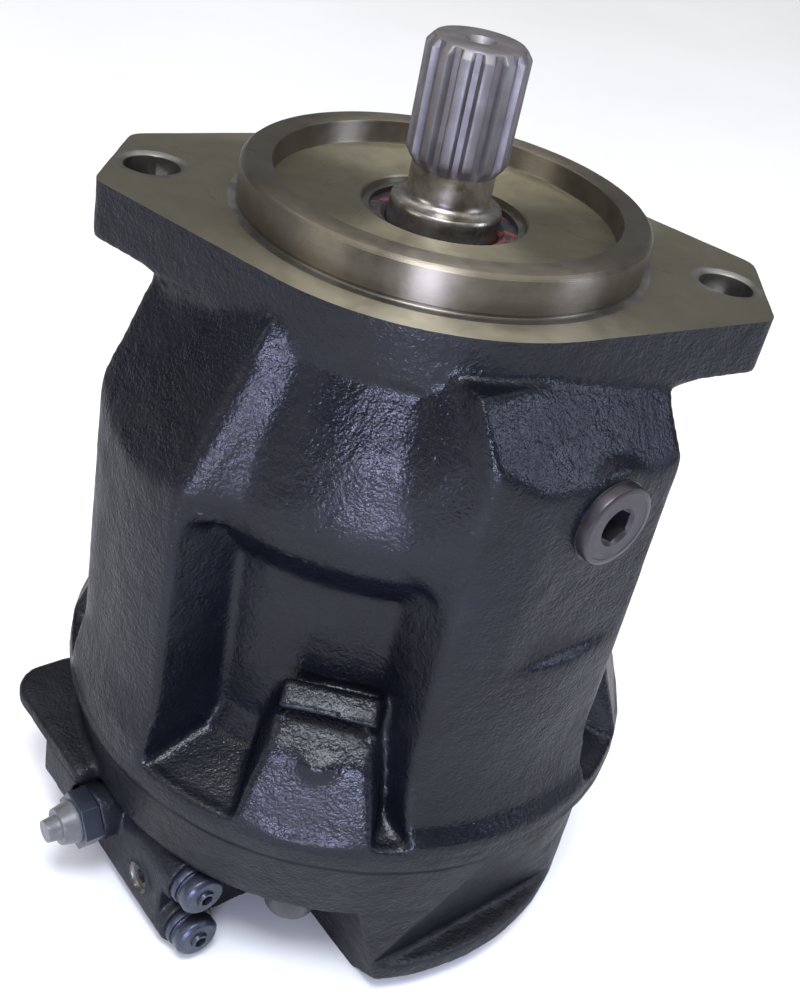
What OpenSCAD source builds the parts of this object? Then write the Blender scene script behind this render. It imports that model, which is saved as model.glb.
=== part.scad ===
// Variable swashplate axial piston pump with a two-bolt SAE C flange and a splined shaft.
// Origin: centre of the mounting face. +Z leaves the pump along the shaft, +X runs to one flange ear.

/* [Mounting flange] */
// Diameter of the locating pilot
pilot_d = 127; // [126.9:0.01:127]
// Height of the locating pilot above the mounting face
pilot_h = 12.7; // [10:0.1:13]
// Distance between the two flange bolt holes
flange_bolt_spacing = 181; // [178:0.5:184]
// Diameter of the flange bolt holes
flange_hole_d = 17.5; // [16:0.1:18]
// Thickness of the flange
flange_t = 18; // [16:0.5:19]
// Length over both flange ears
flange_length = 210; // [206:1:214]
// Turn of the pump body against the line of the flange ears
body_turn = -48; // [-60:1:-40]

/* [Drive shaft] */
// Height of the shaft tip above the mounting face
shaft_tip_z = 56; // [50:0.5:60]
// Outside diameter of the shaft spline
spline_d = 31.2; // [30:0.1:32]
// Root diameter of the shaft spline
spline_root_d = 27.2; // [26:0.1:28]
// Number of spline teeth
spline_teeth = 14; // [12:1:16]
// Diameter of the shaft under the seal and the front bearing
shaft_d = 35; // [34:0.1:35]

/* [Rotating group] */
// Number of pistons
piston_count = 9; // [9]
// Diameter of each piston
piston_d = 22; // [20:0.5:22]
// Radius of the circle on which the pistons lie
piston_circle_r = 38; // [37.5:0.5:39]
// Outside diameter of the cylinder block
block_d = 112; // [110:1:116]
// Height of the tilt axis
tilt_z = -77; // [-78:0.5:-76]
// Radius of the swashplate's cradle
cradle_r = 46; // [45:0.5:46]
// Radius of the retaining ball
ball_r = 24; // [23:0.5:24]

/* [Casing] */
// Height of the joint between housing and port plate
seam_z = -172; // [-173:0.5:-171]
// Height of the rear face of the port plate
rear_z = -251; // [-255:1:-249]
// Radius of the housing bore
housing_bore_r = 64; // [63:0.5:65]
// Radius of the bulge on the control side
control_bulge_r = 100.5; // [99:0.5:101]
// Radius of the bulges at the two drain ports
side_bulge_r = 96.5; // [96:0.5:98]
// Distance from the shaft axis to the flat round each drain port
drain_face_x = 93.2; // [92.5:0.1:94]
// Height of the drain ports
drain_z = -50; // [-52:0.5:-48]

/* [Rear ports] */
// Diameter of the suction port
suction_d = 50; // [44:1:50]
// Diameter of the pressure port
pressure_d = 25; // [20:1:25]
// Long side of the suction port's bolt rectangle
suction_bolt_long = 77.8; // [77:0.1:78]
// Short side of the suction port's bolt rectangle
suction_bolt_short = 42.9; // [42:0.1:43]
// Long side of the pressure port's bolt rectangle
pressure_bolt_long = 52.4; // [52:0.1:53]
// Short side of the pressure port's bolt rectangle
pressure_bolt_short = 26.2; // [26:0.1:27]
// Distance from the shaft axis to the centre of the suction port
suction_offset = 38; // [37:0.5:38]
// Distance from the shaft axis to the centre of the pressure port
pressure_offset = 42; // [41:0.5:43]

/* [Controller] */
// Height of the pressure spool's axis
upper_spool_z = -217.5; // [-218:0.5:-217]
// Height of the flow spool's axis
lower_spool_z = -240; // [-241:0.5:-240]
// Distance from the shaft axis to the plane of the spools
spool_y = -85.5; // [-86:0.5:-85]
// Diameter of both spools
spool_d = 9; // [8:0.5:10]
// Length of the valve body
valve_length = 74; // [72:1:76]

/* [Hidden] */
$fn = 96;

// Small clearances
running_gap = 0.05;
slide_gap = 0.15;
touch_gap = 0.3;
cut = 1;

// Flange and pilot
pilot_r = pilot_d / 2;
pilot_wall = 9.5;
pilot_edge = 1.3;
recess_z = 5;
ear_r = flange_length / 2;
ear_corner_r = 6;
ear_corner_x = 96.5;
ear_corner_y = 18.5;
flange_core_r = 76;
hole_chamfer = 1;

// Front bearing, seal and bores in the nose of the housing
seal_r = 26;
seal_top_z = 1;
seal_h = 8;
ring_groove_r = 27.4;
ring_t = 1.8;
ring_inner_r = 23.5;
ring_slot = 6;
nose_bore_r = 24;
front_cup_r = 36;
front_bearing_z = -10;
front_bearing_h = 18;
rear_cup_r = 23.5;
rear_bearing_h = 15;
rear_journal_r = 12.5;
rear_bearing_z = seam_z - 1;
cage_shift = 0.4;
cage_t = 0.9;
cage_end = 0.45;
front_roller_count = 17;
front_roller_r = 3.4;
front_roller_top_r = 24.9;
front_roller_low_r = 27.1;
front_roller_top_z = front_bearing_z - 2;
front_roller_low_z = front_bearing_z - 14.7;
rear_roller_count = 15;
rear_roller_r = 2.3;
rear_roller_top_r = 16.45;
rear_roller_low_r = 17.85;
rear_roller_top_z = rear_bearing_h - rear_bearing_z - 2;
rear_roller_low_z = 3 - rear_bearing_z;
cone_rib_h = 2.5;

// Drive shaft
shaft_end_edge = 2.6;
spline_low_z = 18.5;
shaft_neck_r = 13;
shaft_collar_r = 20.5;
shaft_collar_z = -33;
shaft_middle_r = 17;
shaft_rear_r = 14;
centre_hole_r = 2.2;
inner_spline_h = 29;
inner_spline_root_r = 15.6;
inner_spline_tip_r = 17.3;
inner_spline_slack = 0.1;

// Housing castings
bore_top_z = -32;
seat_bottom_z = -43;
shell_t = 3;
seat_inner_x = 37;
seat_outer_x = 55;
seat_w = seat_outer_x - seat_inner_x;
seat_half_y = 46;
seat_r = cradle_r + shell_t + touch_gap / 2;
pocket_reach = 87;
arm_pocket_w = 30;
bias_pocket_top_z = -35.5;
control_pocket_top_z = -55;
control_left = -34;
control_right = 21.5;
side_front = -44;
side_back = 29;
bias_half_w = 30;
casting_bolt_r = 84;
casting_boss_r = 11;
bolt_angles = [45, 135, 225, 315];
drain_bore_r = 10.2;
seal_track_r = 69.4;
seal_track_w = 20;
seal_track_reach = 92;
seal_band_w = 3.3;
seal_band_h = 2.3;

// Swashplate and slippers
face_z = tilt_z + 9;
back_z = tilt_z + 19;
swash_r = 60;
swash_half_x = 55;
swash_half_y = 58;
rocker_in = 38.5;
rocker_out = 54;
arm_under_z = tilt_z + 4;
arm_half_w = 11;
control_y = -74;
bias_y = 71;
arm_margin = 8;
swash_hole_r = 23.5;
slipper_r = 12.3;
slipper_neck_r = 9.5;
slipper_flange_t = 3;
joint_ball_r = 8;
piston_bore_gap = 0.02;
piston_neck_r = 5.5;
piston_hollow_r = 6.5;
oil_hole_r = 1.2;
plate_t = 4;
plate_hole_r = 11.3;
plate_r = 52.5;

// Cylinder block
block_top_z = -94;
valve_plate_t = 5;
block_bottom_z = seam_z + valve_plate_t;
block_spline_bottom_z = -124;
block_core_r = 22;
piston_bottom_z = -139;
piston_top_z = tilt_z - 9;
kidney_r = 5;
kidney_depth = 9;
kidney_end_step = 0.15;
block_spline_teeth = 22;
pin_circle_r = 20.2;
pin_r = 2.4;
spring_mean_r = 18.2;
spring_wire_r = 1.9;
spring_low_z = -160;
spring_h = 34;
washer_inner_r = 15;
washer_t = 2;
dowel_r = 2;
dowel_place_r = 50;

// Control and bias pistons
tip_r = 9;
tip_z = arm_under_z - tip_r - touch_gap;
control_r = 11;
guide_r = 8.5;
control_guide_top_z = -125;
bias_flange_z = -98;
bias_flange_r = 13.5;
bias_stem_r = 6;
bias_tube_r = 8.6;
bias_seat_t = 3;
bias_flange_t = 4;
piston_stem_r = 8.5;
control_low_z = -150;
control_top_z = -92;
control_hole_r = 2.5;
bias_low_z = -160;
bias_tube_top_z = -128;

// Port plate
disc_bottom_z = -206.5;
ledge_z = -234;
ledge_bottom_z = -241;
plate_foot_r = 86;
plate_low_r = 99;
flat_top_x = 101;
flat_low_x = 88.5;
cut_top_y = -50;
cut_low_y = -38;
plate_bolt_r = 6;
plate_bolt_head_r = 9;
plate_bolt_head_h = 12;
plate_bolt_end_z = -148;
counterbore_r = 9.6;
port_depth = 42;
suction_thread_d = 10.2;
suction_thread_depth = 22;
pressure_thread_d = 8.5;
pressure_thread_depth = 20;
kidney_top_z = -212;
plug_socket = 11.5;

// Controller
valve_left = -41;
valve_right = valve_left + valve_length;
valve_nose = 4;
valve_inner_y = -72;
valve_lobe_r = 10;
valve_outer_y = spool_y - valve_lobe_r;
valve_bore_r = spool_d / 2 + running_gap;
controller_bolt_x = [-32, -8, 20];
end_plug_r = 7;
spool_travel = 3;
spring_seat_x = 8;
spool_collar_t = 2.5;
spring_bore_r = 6.5;
screw_seat_x = 27;
screw_end_x = 47.5;
screw_r = 3;
cap_r = 8;
wing_top_z = -199;
wing_t = 7;
wing_y = -107;
fitting_x = -5;
fitting_af = 19;
sensing_hole_r = 2;
fitting_thread_r = 6;
fitting_nose_r = 5;
fitting_hex_z = 17;
valve_screw_r = 3;
valve_screw_head_r = 5;
valve_screw_head_h = 6;
collar_r = 5.6;
valve_coil_r = 4.6;
valve_wire_r = 0.8;
end_plug_h = 8;

// Points of a spline outline with straight-sided teeth
function spline_points(teeth, root_r, tip_r) = [
    for (i = [0 : teeth - 1], k = [0 : 3])
        let (a = (i + [-0.33, -0.17, 0.17, 0.33][k]) * 360 / teeth, r = (k == 0 || k == 3) ? root_r : tip_r)
        [r * cos(a), r * sin(a)]
];

// Points on a closed ring of a helical wire, at turn angle a and height z
function wire_ring(coil_r, wire_r, sides, a, z) = [
    for (k = [0 : sides - 1])
        let (b = 360 * k / sides, r = coil_r + wire_r * cos(b))
        [r * cos(a), r * sin(a), z + wire_r * sin(b)]
];

module pump_frame() {
    rotate([0, 0, body_turn]) children();
}

module ring(r_out, r_in, z, h) {
    translate([0, 0, z]) difference() {
        cylinder(r = r_out, h = h);
        translate([0, 0, -cut]) cylinder(r = r_in, h = h + 2 * cut);
    }
}

module along_x(x) {
    translate([x, 0, 0]) rotate([0, 90, 0]) children();
}

module spline_bar(teeth, root_r, tip_r, z, h) {
    translate([0, 0, z]) linear_extrude(h) polygon(spline_points(teeth, root_r, tip_r));
}

// Helical wire with its lowest ring at z and its highest ring at z + h
module coil(coil_r, wire_r, turns, z, h) {
    sides = 8;
    steps = 12 * turns;
    rise = (h - 2 * wire_r) / steps;
    rings = [for (s = [0 : steps]) wire_ring(coil_r, wire_r, sides, 30 * s, z + wire_r + rise * s)];
    skin = [
        for (s = [0 : steps - 1], k = [0 : sides - 1])
            let (a = s * sides, n = (k + 1) % sides)
            [a + k, a + sides + k, a + sides + n, a + n]
    ];
    first = [for (k = [0 : sides - 1]) k];
    last = [for (k = [sides - 1 : -1 : 0]) steps * sides + k];
    polyhedron(points = [for (r = rings, p = r) p], faces = concat(skin, [first, last]));
}

// ---- Casing ----

module flange_outline() {
    intersection() {
        circle(r = ear_r);
        hull() {
            circle(r = flange_core_r);
            for (x = [-1, 1], y = [-1, 1])
                translate([x * ear_corner_x, y * ear_corner_y]) circle(r = ear_corner_r, $fn = 32);
        }
    }
}

module flange_hole(x) {
    translate([x, 0, -flange_t - cut]) cylinder(d = flange_hole_d, h = flange_t + 2 * cut);
    translate([x, 0, -hole_chamfer])
        cylinder(d1 = flange_hole_d, d2 = flange_hole_d + 4 * hole_chamfer, h = 2 * hole_chamfer);
}

module pilot() {
    rotate_extrude() polygon([
        [0, -flange_t], [pilot_r, -flange_t], [pilot_r, pilot_h - pilot_edge],
        [pilot_r - pilot_edge, pilot_h],
        [pilot_r - pilot_wall, pilot_h], [pilot_r - pilot_wall, recess_z], [0, recess_z]
    ]);
}

// Round core of the housing: the belly under the flange, the waist and the rim at the seam
module housing_core() {
    rotate_extrude() polygon([
        [0, -10], [70, -10], [75.4, -19.5], [83, -40], [88, -60], [88.5, -66], [87, -74], [77, -88],
        [76, -150], [80, -160], [103, -169.5], [103.8, seam_z], [0, seam_z]
    ]);
}

// Round envelope of a bulge, flared out to the rim at the seam
module bulge_envelope(r) {
    rotate_extrude() polygon([
        [0, -12], [r, -12], [r, -146], [r + 1.2, -153], [r + 3, -161], [104, -167],
        [104, seam_z], [0, seam_z]
    ]);
}

// Side profile of a bulge: sloped down from the flange, then straight to the seam
module bulge_profile(top, knee, knee_z, reach) {
    polygon([[0, -12], [top, -12], [knee, knee_z], [reach, knee_z - 0.5], [reach, seam_z], [0, seam_z]]);
}

module control_bulge() {
    intersection() {
        bulge_envelope(control_bulge_r);
        translate([control_right, 0, 0]) rotate([90, 0, -90])
            linear_extrude(control_right - control_left) bulge_profile(75, 99.5, -64, 120);
    }
}

module bias_bulge() {
    intersection() {
        bulge_envelope(side_bulge_r);
        translate([-bias_half_w, 0, 0]) rotate([90, 0, 90])
            linear_extrude(2 * bias_half_w) bulge_profile(72, 95, -64, 120);
    }
}

module side_bulge() {
    intersection() {
        bulge_envelope(side_bulge_r);
        translate([0, side_back, 0]) rotate([90, 0, 0])
            linear_extrude(side_back - side_front) bulge_profile(75, 96.4, -42, 120);
    }
}

module casting_boss(a) {
    rotate([0, 0, a]) {
        translate([casting_bolt_r, 0, seam_z]) cylinder(r = casting_boss_r, h = 34);
        translate([casting_bolt_r - 12, -16, -138]) rotate([0, 30, 0]) cube([10, 32, 20]);
        translate([70, -16, seam_z]) cube([14, 32, 40]);
    }
}

module drain_cut() {
    translate([drain_face_x, -40, -101]) cube([20, 80, 95]);
    along_x(50) translate([-drain_z, 0, 0]) cylinder(r = drain_bore_r, h = 60);
}

module cradle_seats() {
    difference() {
        for (x = [seat_inner_x, -seat_outer_x])
            translate([x, -seat_half_y, seat_bottom_z])
                cube([seat_w, 2 * seat_half_y, bore_top_z - seat_bottom_z + cut]);
        translate([0, 0, tilt_z]) along_x(-70) cylinder(r = seat_r, h = 140);
    }
}

// Pocket for an arm of the swashplate and its piston, from a side profile of [reach, height] points
module arm_pocket(profile) {
    translate([-arm_pocket_w / 2, 0, 0]) rotate([90, 0, 90]) linear_extrude(arm_pocket_w) polygon(profile);
}

module bias_pocket() {
    arm_pocket([
        [50, seam_z - cut], [pocket_reach, seam_z - cut], [pocket_reach, -72], [83, -62],
        [74, bias_pocket_top_z], [50, bias_pocket_top_z]
    ]);
}

module control_pocket() {
    mirror([0, 1, 0]) arm_pocket([
        [50, seam_z - cut], [pocket_reach, seam_z - cut], [pocket_reach, -66],
        [84, control_pocket_top_z], [50, control_pocket_top_z]
    ]);
}

// Track of the seal at the seam: a circle with a lobe round each arm pocket
module seal_track(r, half_w, reach, h) {
    translate([0, 0, seam_z]) {
        cylinder(r = r, h = h);
        translate([-half_w, -reach, 0]) cube([2 * half_w, 2 * reach, h]);
    }
}

module seal_band(slack, h) {
    difference() {
        seal_track(seal_track_r + slack, seal_track_w + slack, seal_track_reach + slack, h);
        translate([0, 0, -cut]) seal_track(seal_track_r - seal_band_w - slack,
            seal_track_w - seal_band_w - slack, seal_track_reach - seal_band_w - slack, h + 2 * cut);
    }
}

module housing() {
    color("#23252b") difference() {
        union() {
            translate([0, 0, -flange_t]) linear_extrude(flange_t) flange_outline();
            pilot();
            pump_frame() {
                housing_core();
                control_bulge();
                bias_bulge();
                side_bulge();
                mirror([1, 0, 0]) side_bulge();
                for (a = bolt_angles) casting_boss(a);
            }
        }
        flange_hole(flange_bolt_spacing / 2);
        flange_hole(-flange_bolt_spacing / 2);
        translate([0, 0, seal_top_z - seal_h]) cylinder(r = seal_r, h = 20);
        translate([0, 0, seal_top_z]) cylinder(r = ring_groove_r, h = ring_t);
        translate([0, 0, -15]) cylinder(r = nose_bore_r, h = 20);
        translate([0, 0, bore_top_z - cut]) cylinder(r = front_cup_r, h = front_bearing_z - bore_top_z + cut);
        pump_frame() {
            difference() {
                translate([0, 0, seam_z - cut]) cylinder(r = housing_bore_r, h = bore_top_z - seam_z + cut);
                cradle_seats();
            }
            for (x = [seat_inner_x - cut, -seat_outer_x])
                translate([0, 0, tilt_z]) along_x(x) cylinder(r = seat_r, h = seat_w + cut);
            bias_pocket();
            control_pocket();
            drain_cut();
            mirror([1, 0, 0]) drain_cut();
            for (a = bolt_angles) rotate([0, 0, a])
                translate([casting_bolt_r, 0, seam_z - cut])
                    cylinder(r = plate_bolt_r, h = plate_bolt_end_z - seam_z + 5);
            translate([0, 0, -cut]) seal_band(running_gap, seal_band_h + touch_gap + cut);
        }
    }
}

// Disc of the port plate, from the seam down
module plate_disc() {
    rotate_extrude() polygon([
        [0, seam_z], [103.4, seam_z], [104, seam_z - 1], [104, seam_z - 4], [101.5, -181], [99.8, -192],
        [98.5, -204.5], [96.5, disc_bottom_z], [0, disc_bottom_z]
    ]);
}

// Lower block of the port plate with its ledge, cut back on the control side
module plate_block() {
    intersection() {
        rotate_extrude() polygon([
            [0, disc_bottom_z + cut], [plate_low_r, disc_bottom_z + cut], [plate_low_r, ledge_bottom_z],
            [plate_foot_r, rear_z], [0, rear_z]
        ]);
        translate([-110, 0, 0]) rotate([90, 0, 90]) linear_extrude(220) polygon([
            [cut_top_y, disc_bottom_z + cut], [cut_low_y, rear_z], [90, rear_z], [90, disc_bottom_z + cut]
        ]);
    }
}

module plate_flat() {
    translate([0, 60, 0]) rotate([90, 0, 0]) linear_extrude(120) polygon([
        [flat_top_x, -180], [flat_low_x, ledge_z], [120, ledge_z], [120, -180]
    ]);
}

// Pad that carries the valve body
module plate_pad() {
    translate([valve_left, valve_inner_y, -248])
        cube([valve_length, cut_top_y - valve_inner_y + 12, disc_bottom_z + 249]);
}

// Wing over the far end of the valve body
module plate_wing() {
    translate([0, 0, wing_top_z - wing_t]) linear_extrude(wing_t) hull() {
        translate([-54, wing_y + 12]) circle(r = 12);
        translate([-12, wing_y + 3]) circle(r = 3);
        translate([-30, -70]) circle(r = 20);
        translate([-52, -70]) circle(r = 14);
    }
}

// Curved slot on the piston circle, half as long as span either side of the direction a
module kidney(a, half_span, r, z, h) {
    rotate([0, 0, a - half_span]) translate([0, 0, z]) {
        rotate_extrude(angle = 2 * half_span) translate([piston_circle_r - r, 0]) square([2 * r, h]);
        for (end = [0, 2 * half_span])
            rotate([0, 0, end]) translate([piston_circle_r, 0, 0]) cylinder(r = r - kidney_end_step, h = h);
    }
}

module port_bolts(x, long_side, short_side, d, depth) {
    for (i = [-1, 1], j = [-1, 1])
        translate([x + i * long_side / 2, j * short_side / 2, rear_z - cut]) cylinder(d = d, h = depth + cut);
}

module port_plate() {
    color("#23252b") pump_frame() difference() {
        union() {
            plate_disc();
            plate_block();
            plate_pad();
            plate_wing();
        }
        plate_flat();
        translate([0, 0, seam_z - 22]) cylinder(r = 19, h = 30);
        translate([0, 0, rear_bearing_z - rear_bearing_h]) cylinder(r = rear_cup_r, h = 30);
        kidney(180, 58, 6, kidney_top_z, 60);
        kidney(0, 58, 5, kidney_top_z, 60);
        translate([-suction_offset, 0, rear_z - cut]) cylinder(d = suction_d, h = port_depth + cut);
        translate([pressure_offset, 0, rear_z - cut]) cylinder(d = pressure_d, h = port_depth + cut);
        port_bolts(-suction_offset, suction_bolt_long, suction_bolt_short,
            suction_thread_d, suction_thread_depth);
        port_bolts(pressure_offset, pressure_bolt_long, pressure_bolt_short,
            pressure_thread_d, pressure_thread_depth);
        for (a = bolt_angles) rotate([0, 0, a]) translate([casting_bolt_r, 0, rear_z - cut]) {
            cylinder(r = plate_bolt_r + 0.5, h = 90);
            cylinder(r = counterbore_r, h = disc_bottom_z - rear_z + cut);
        }
        translate([0, control_y, seam_z - 18]) cylinder(r = guide_r - 2, h = 30);
        translate([0, bias_y, seam_z - 12]) cylinder(r = bias_stem_r, h = 30);
        controller_bolt_places(valve_inner_y - cut) cylinder(r = valve_screw_r, h = 15);
    }
}

module housing_seal_ring() {
    color("#1b1b1d") pump_frame() seal_band(0, seal_band_h);
}

module port_plate_bolts() {
    color("#2c2d31") pump_frame() for (a = bolt_angles) rotate([0, 0, a])
        translate([casting_bolt_r, 0, 0]) difference() {
            union() {
                translate([0, 0, disc_bottom_z])
                    cylinder(r = plate_bolt_r, h = plate_bolt_end_z - disc_bottom_z);
                translate([0, 0, disc_bottom_z - plate_bolt_head_h])
                    cylinder(r = plate_bolt_head_r, h = plate_bolt_head_h);
            }
            translate([0, 0, disc_bottom_z - plate_bolt_head_h - cut])
                cylinder(d = plug_socket, h = 7, $fn = 6);
        }
}

module drain_plug() {
    difference() {
        union() {
            along_x(drain_face_x + 1) translate([-drain_z, 0, 0]) {
                cylinder(r = 13.2, h = 3.4);
                cylinder(r1 = 13.2, r2 = 12.6, h = 4);
            }
            along_x(drain_face_x - 12) translate([-drain_z, 0, 0]) cylinder(r = drain_bore_r, h = 14);
        }
        along_x(drain_face_x - 3) translate([-drain_z, 0, 0]) cylinder(d = plug_socket, h = 10, $fn = 6);
    }
}

module case_drain_plugs() {
    color("#4a4a4e") pump_frame() {
        drain_plug();
        mirror([1, 0, 0]) drain_plug();
    }
}

module plug_washer() {
    along_x(drain_face_x) translate([-drain_z, 0, 0]) difference() {
        cylinder(r = 13.6, h = 1);
        translate([0, 0, -cut]) cylinder(r = drain_bore_r, h = 3);
    }
}

module plug_sealing_rings() {
    color("#2a2a2c") pump_frame() {
        plug_washer();
        mirror([1, 0, 0]) plug_washer();
    }
}

// ---- Drive shaft, its seal and its bearings ----

module shaft_profile() {
    rotate_extrude() polygon([
        [0, shaft_tip_z], [13.4, shaft_tip_z], [spline_d / 2, shaft_tip_z - shaft_end_edge],
        [spline_d / 2, 22], [shaft_neck_r, spline_low_z], [shaft_neck_r, 8.6], [16.6, 7.6],
        [shaft_d / 2, 6.4],
        [shaft_d / 2, front_bearing_z - front_bearing_h],
        [shaft_collar_r, front_bearing_z - front_bearing_h], [shaft_collar_r, shaft_collar_z],
        [shaft_middle_r, shaft_collar_z], [shaft_middle_r, block_spline_bottom_z],
        [shaft_rear_r, block_spline_bottom_z], [shaft_rear_r, rear_bearing_z],
        [rear_journal_r, rear_bearing_z],
        [rear_journal_r, rear_bearing_z - rear_bearing_h - 2], [11.5, rear_bearing_z - rear_bearing_h - 3],
        [0, rear_bearing_z - rear_bearing_h - 3]
    ]);
}

module drive_shaft() {
    color("#b9b7b2") difference() {
        intersection() {
            shaft_profile();
            union() {
                translate([0, 0, -300]) cylinder(r = 30, h = 300 + spline_low_z);
                spline_bar(spline_teeth, spline_root_d / 2, spline_d / 2, 18, 60);
            }
        }
        difference() {
            translate([0, 0, block_spline_bottom_z - cut]) cylinder(r = 18, h = inner_spline_h);
            spline_bar(block_spline_teeth, inner_spline_root_r, inner_spline_tip_r,
                block_spline_bottom_z - cut, inner_spline_h);
        }
        translate([0, 0, shaft_tip_z - 14]) cylinder(r = centre_hole_r, h = 20);
        translate([0, 0, shaft_tip_z - 2.4])
            cylinder(r1 = centre_hole_r, r2 = centre_hole_r + 2.4, h = 3.4);
    }
}

module shaft_seal() {
    color("#1c1c1e") rotate_extrude() polygon([
        [seal_r, seal_top_z - seal_h], [seal_r, seal_top_z], [19.5, seal_top_z], [18, seal_top_z - 1.5],
        [17.55, seal_top_z - 3], [18.4, seal_top_z - 4.5], [20, seal_top_z - 4.5], [20, seal_top_z - 2],
        [24, seal_top_z - 2], [24, seal_top_z - seal_h]
    ]);
}

module seal_retaining_ring() {
    color("#55565a") translate([0, 0, seal_top_z]) difference() {
        cylinder(r = ring_groove_r, h = ring_t);
        translate([0, 0, -cut]) cylinder(r = ring_inner_r, h = 5);
        translate([-ring_slot / 2, -30, -cut]) cube([ring_slot, 12, 5]);
    }
}

// Outer race of a taper bearing: wide at the bottom end of the taper
module bearing_cup(r, wall_top, wall_low, z_top, h) {
    rotate_extrude() polygon([
        [r, z_top - h], [r, z_top], [r - wall_top, z_top], [r - wall_low, z_top - h]
    ]);
}

module bearing_cone(r_in, r_top, r_low, rib, z_top, h) {
    rotate_extrude() polygon([
        [r_in, z_top - h], [r_in, z_top], [r_top, z_top], [r_low, z_top - h + cone_rib_h],
        [r_low + rib, z_top - h + cone_rib_h], [r_low + rib, z_top - h]
    ]);
}

// Tapered ring of rollers whose axes run from r_low at z_low to r_top at z_top
module bearing_rollers(count, r_top, r_low, roller_r, z_top, z_low, extra) {
    lean = atan2(r_low - r_top, z_top - z_low);
    length = norm([r_low - r_top, z_top - z_low]);
    for (i = [0 : count - 1])
        rotate([0, 0, 360 * i / count]) translate([r_low, 0, z_low]) rotate([0, -lean, 0])
            translate([0, 0, -extra]) cylinder(r = roller_r + extra, h = length + 2 * extra);
}

// Cage round the same rollers, with one window for each
module bearing_cage(count, r_top, r_low, roller_r, z_top, z_low) {
    difference() {
        rotate_extrude() polygon([
            [r_top + cage_shift, z_top + cage_end], [r_top + cage_shift + cage_t, z_top + cage_end],
            [r_low + cage_shift + cage_t, z_low - cage_end], [r_low + cage_shift, z_low - cage_end]
        ]);
        bearing_rollers(count, r_top, r_low, roller_r, z_top, z_low, slide_gap);
    }
}

module front_bearing_cup() {
    color("#a9adb3") bearing_cup(front_cup_r, 7.2, 3.6, front_bearing_z, front_bearing_h);
}

module front_bearing_cone() {
    color("#a9adb3") bearing_cone(shaft_d / 2, 20.4, 23.5, 2, front_bearing_z, front_bearing_h);
}

module front_bearing_rollers() {
    color("#8d9096") {
        bearing_rollers(front_roller_count, front_roller_top_r, front_roller_low_r, front_roller_r,
            front_roller_top_z, front_roller_low_z, 0);
        bearing_cage(front_roller_count, front_roller_top_r, front_roller_low_r, front_roller_r,
            front_roller_top_z, front_roller_low_z);
    }
}

module rear_bearing_cup() {
    color("#a9adb3") mirror([0, 0, 1])
        bearing_cup(rear_cup_r, 4.4, 2.4, rear_bearing_h - rear_bearing_z, rear_bearing_h);
}

module rear_bearing_cone() {
    color("#a9adb3") mirror([0, 0, 1])
        bearing_cone(rear_journal_r, 13.6, 15.2, 1.4, rear_bearing_h - rear_bearing_z, rear_bearing_h);
}

module rear_bearing_rollers() {
    color("#8d9096") mirror([0, 0, 1]) {
        bearing_rollers(rear_roller_count, rear_roller_top_r, rear_roller_low_r, rear_roller_r,
            rear_roller_top_z, rear_roller_low_z, 0);
        bearing_cage(rear_roller_count, rear_roller_top_r, rear_roller_low_r, rear_roller_r,
            rear_roller_top_z, rear_roller_low_z);
    }
}

// ---- Swashplate ----

module cradle_bearings() {
    color("#b08d4f") pump_frame() translate([0, 0, tilt_z]) for (s = [-1, 1]) intersection() {
        along_x(s > 0 ? rocker_in : -rocker_out) difference() {
            cylinder(r = cradle_r + shell_t, h = rocker_out - rocker_in);
            translate([0, 0, -cut]) cylinder(r = cradle_r + running_gap, h = rocker_out);
        }
        translate([-60, -29, 37]) cube([120, 58, 40]);
    }
}

module swash_disc() {
    intersection() {
        translate([0, 0, face_z]) cylinder(r = swash_r, h = back_z - face_z);
        translate([-swash_half_x, -swash_half_y, face_z - cut])
            cube([2 * swash_half_x, 2 * swash_half_y, back_z - face_z + 2 * cut]);
    }
}

module swash_rockers() {
    intersection() {
        union() for (s = [-1, 1]) translate([0, 0, tilt_z]) along_x(s > 0 ? rocker_in : -rocker_out)
            cylinder(r = cradle_r, h = rocker_out - rocker_in);
        translate([-60, -31, back_z - cut]) cube([120, 62, 60]);
    }
}

module swash_arm(side, reach) {
    length = reach - 40;
    translate([-arm_half_w, side > 0 ? 40 : -reach, face_z])
        cube([2 * arm_half_w, length, back_z - face_z]);
    translate([-arm_half_w, side > 0 ? reach - 16 : -reach, arm_under_z]) cube([2 * arm_half_w, 16, 9]);
}

module swashplate() {
    color("#8c8f94") pump_frame() difference() {
        union() {
            swash_disc();
            swash_rockers();
            swash_arm(-1, arm_margin - control_y);
            swash_arm(1, bias_y + arm_margin);
        }
        translate([0, 0, face_z - cut]) cylinder(r = swash_hole_r, h = back_z - face_z + 2 * cut);
    }
}

// ---- Rotating group ----

module at_piston(i) {
    rotate([0, 0, 90 + 360 * (i - 1) / piston_count]) translate([piston_circle_r, 0, 0]) children();
}

module cylinder_block() {
    color("#9a9da2") pump_frame() difference() {
        translate([0, 0, block_bottom_z]) cylinder(d = block_d, h = block_top_z - block_bottom_z);
        for (i = [1 : piston_count]) at_piston(i) {
            translate([0, 0, block_bottom_z + kidney_depth])
                cylinder(r = piston_d / 2 + piston_bore_gap, h = 100);
            translate([0, 0, block_bottom_z - cut]) cylinder(r = kidney_r, h = 20);
        }
        translate([0, 0, block_bottom_z - cut])
            cylinder(r = block_core_r, h = block_spline_bottom_z - block_bottom_z + cut);
        rotate([0, 0, -body_turn])
            spline_bar(block_spline_teeth, inner_spline_root_r + inner_spline_slack,
                inner_spline_tip_r + inner_spline_slack, block_spline_bottom_z - cut, 60);
        translate([0, 0, block_top_z - 6]) cylinder(r = 19, h = 10);
        pin_places() translate([0, 0, block_spline_bottom_z - cut]) cylinder(r = pin_r + 0.1, h = 60);
    }
}

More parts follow.
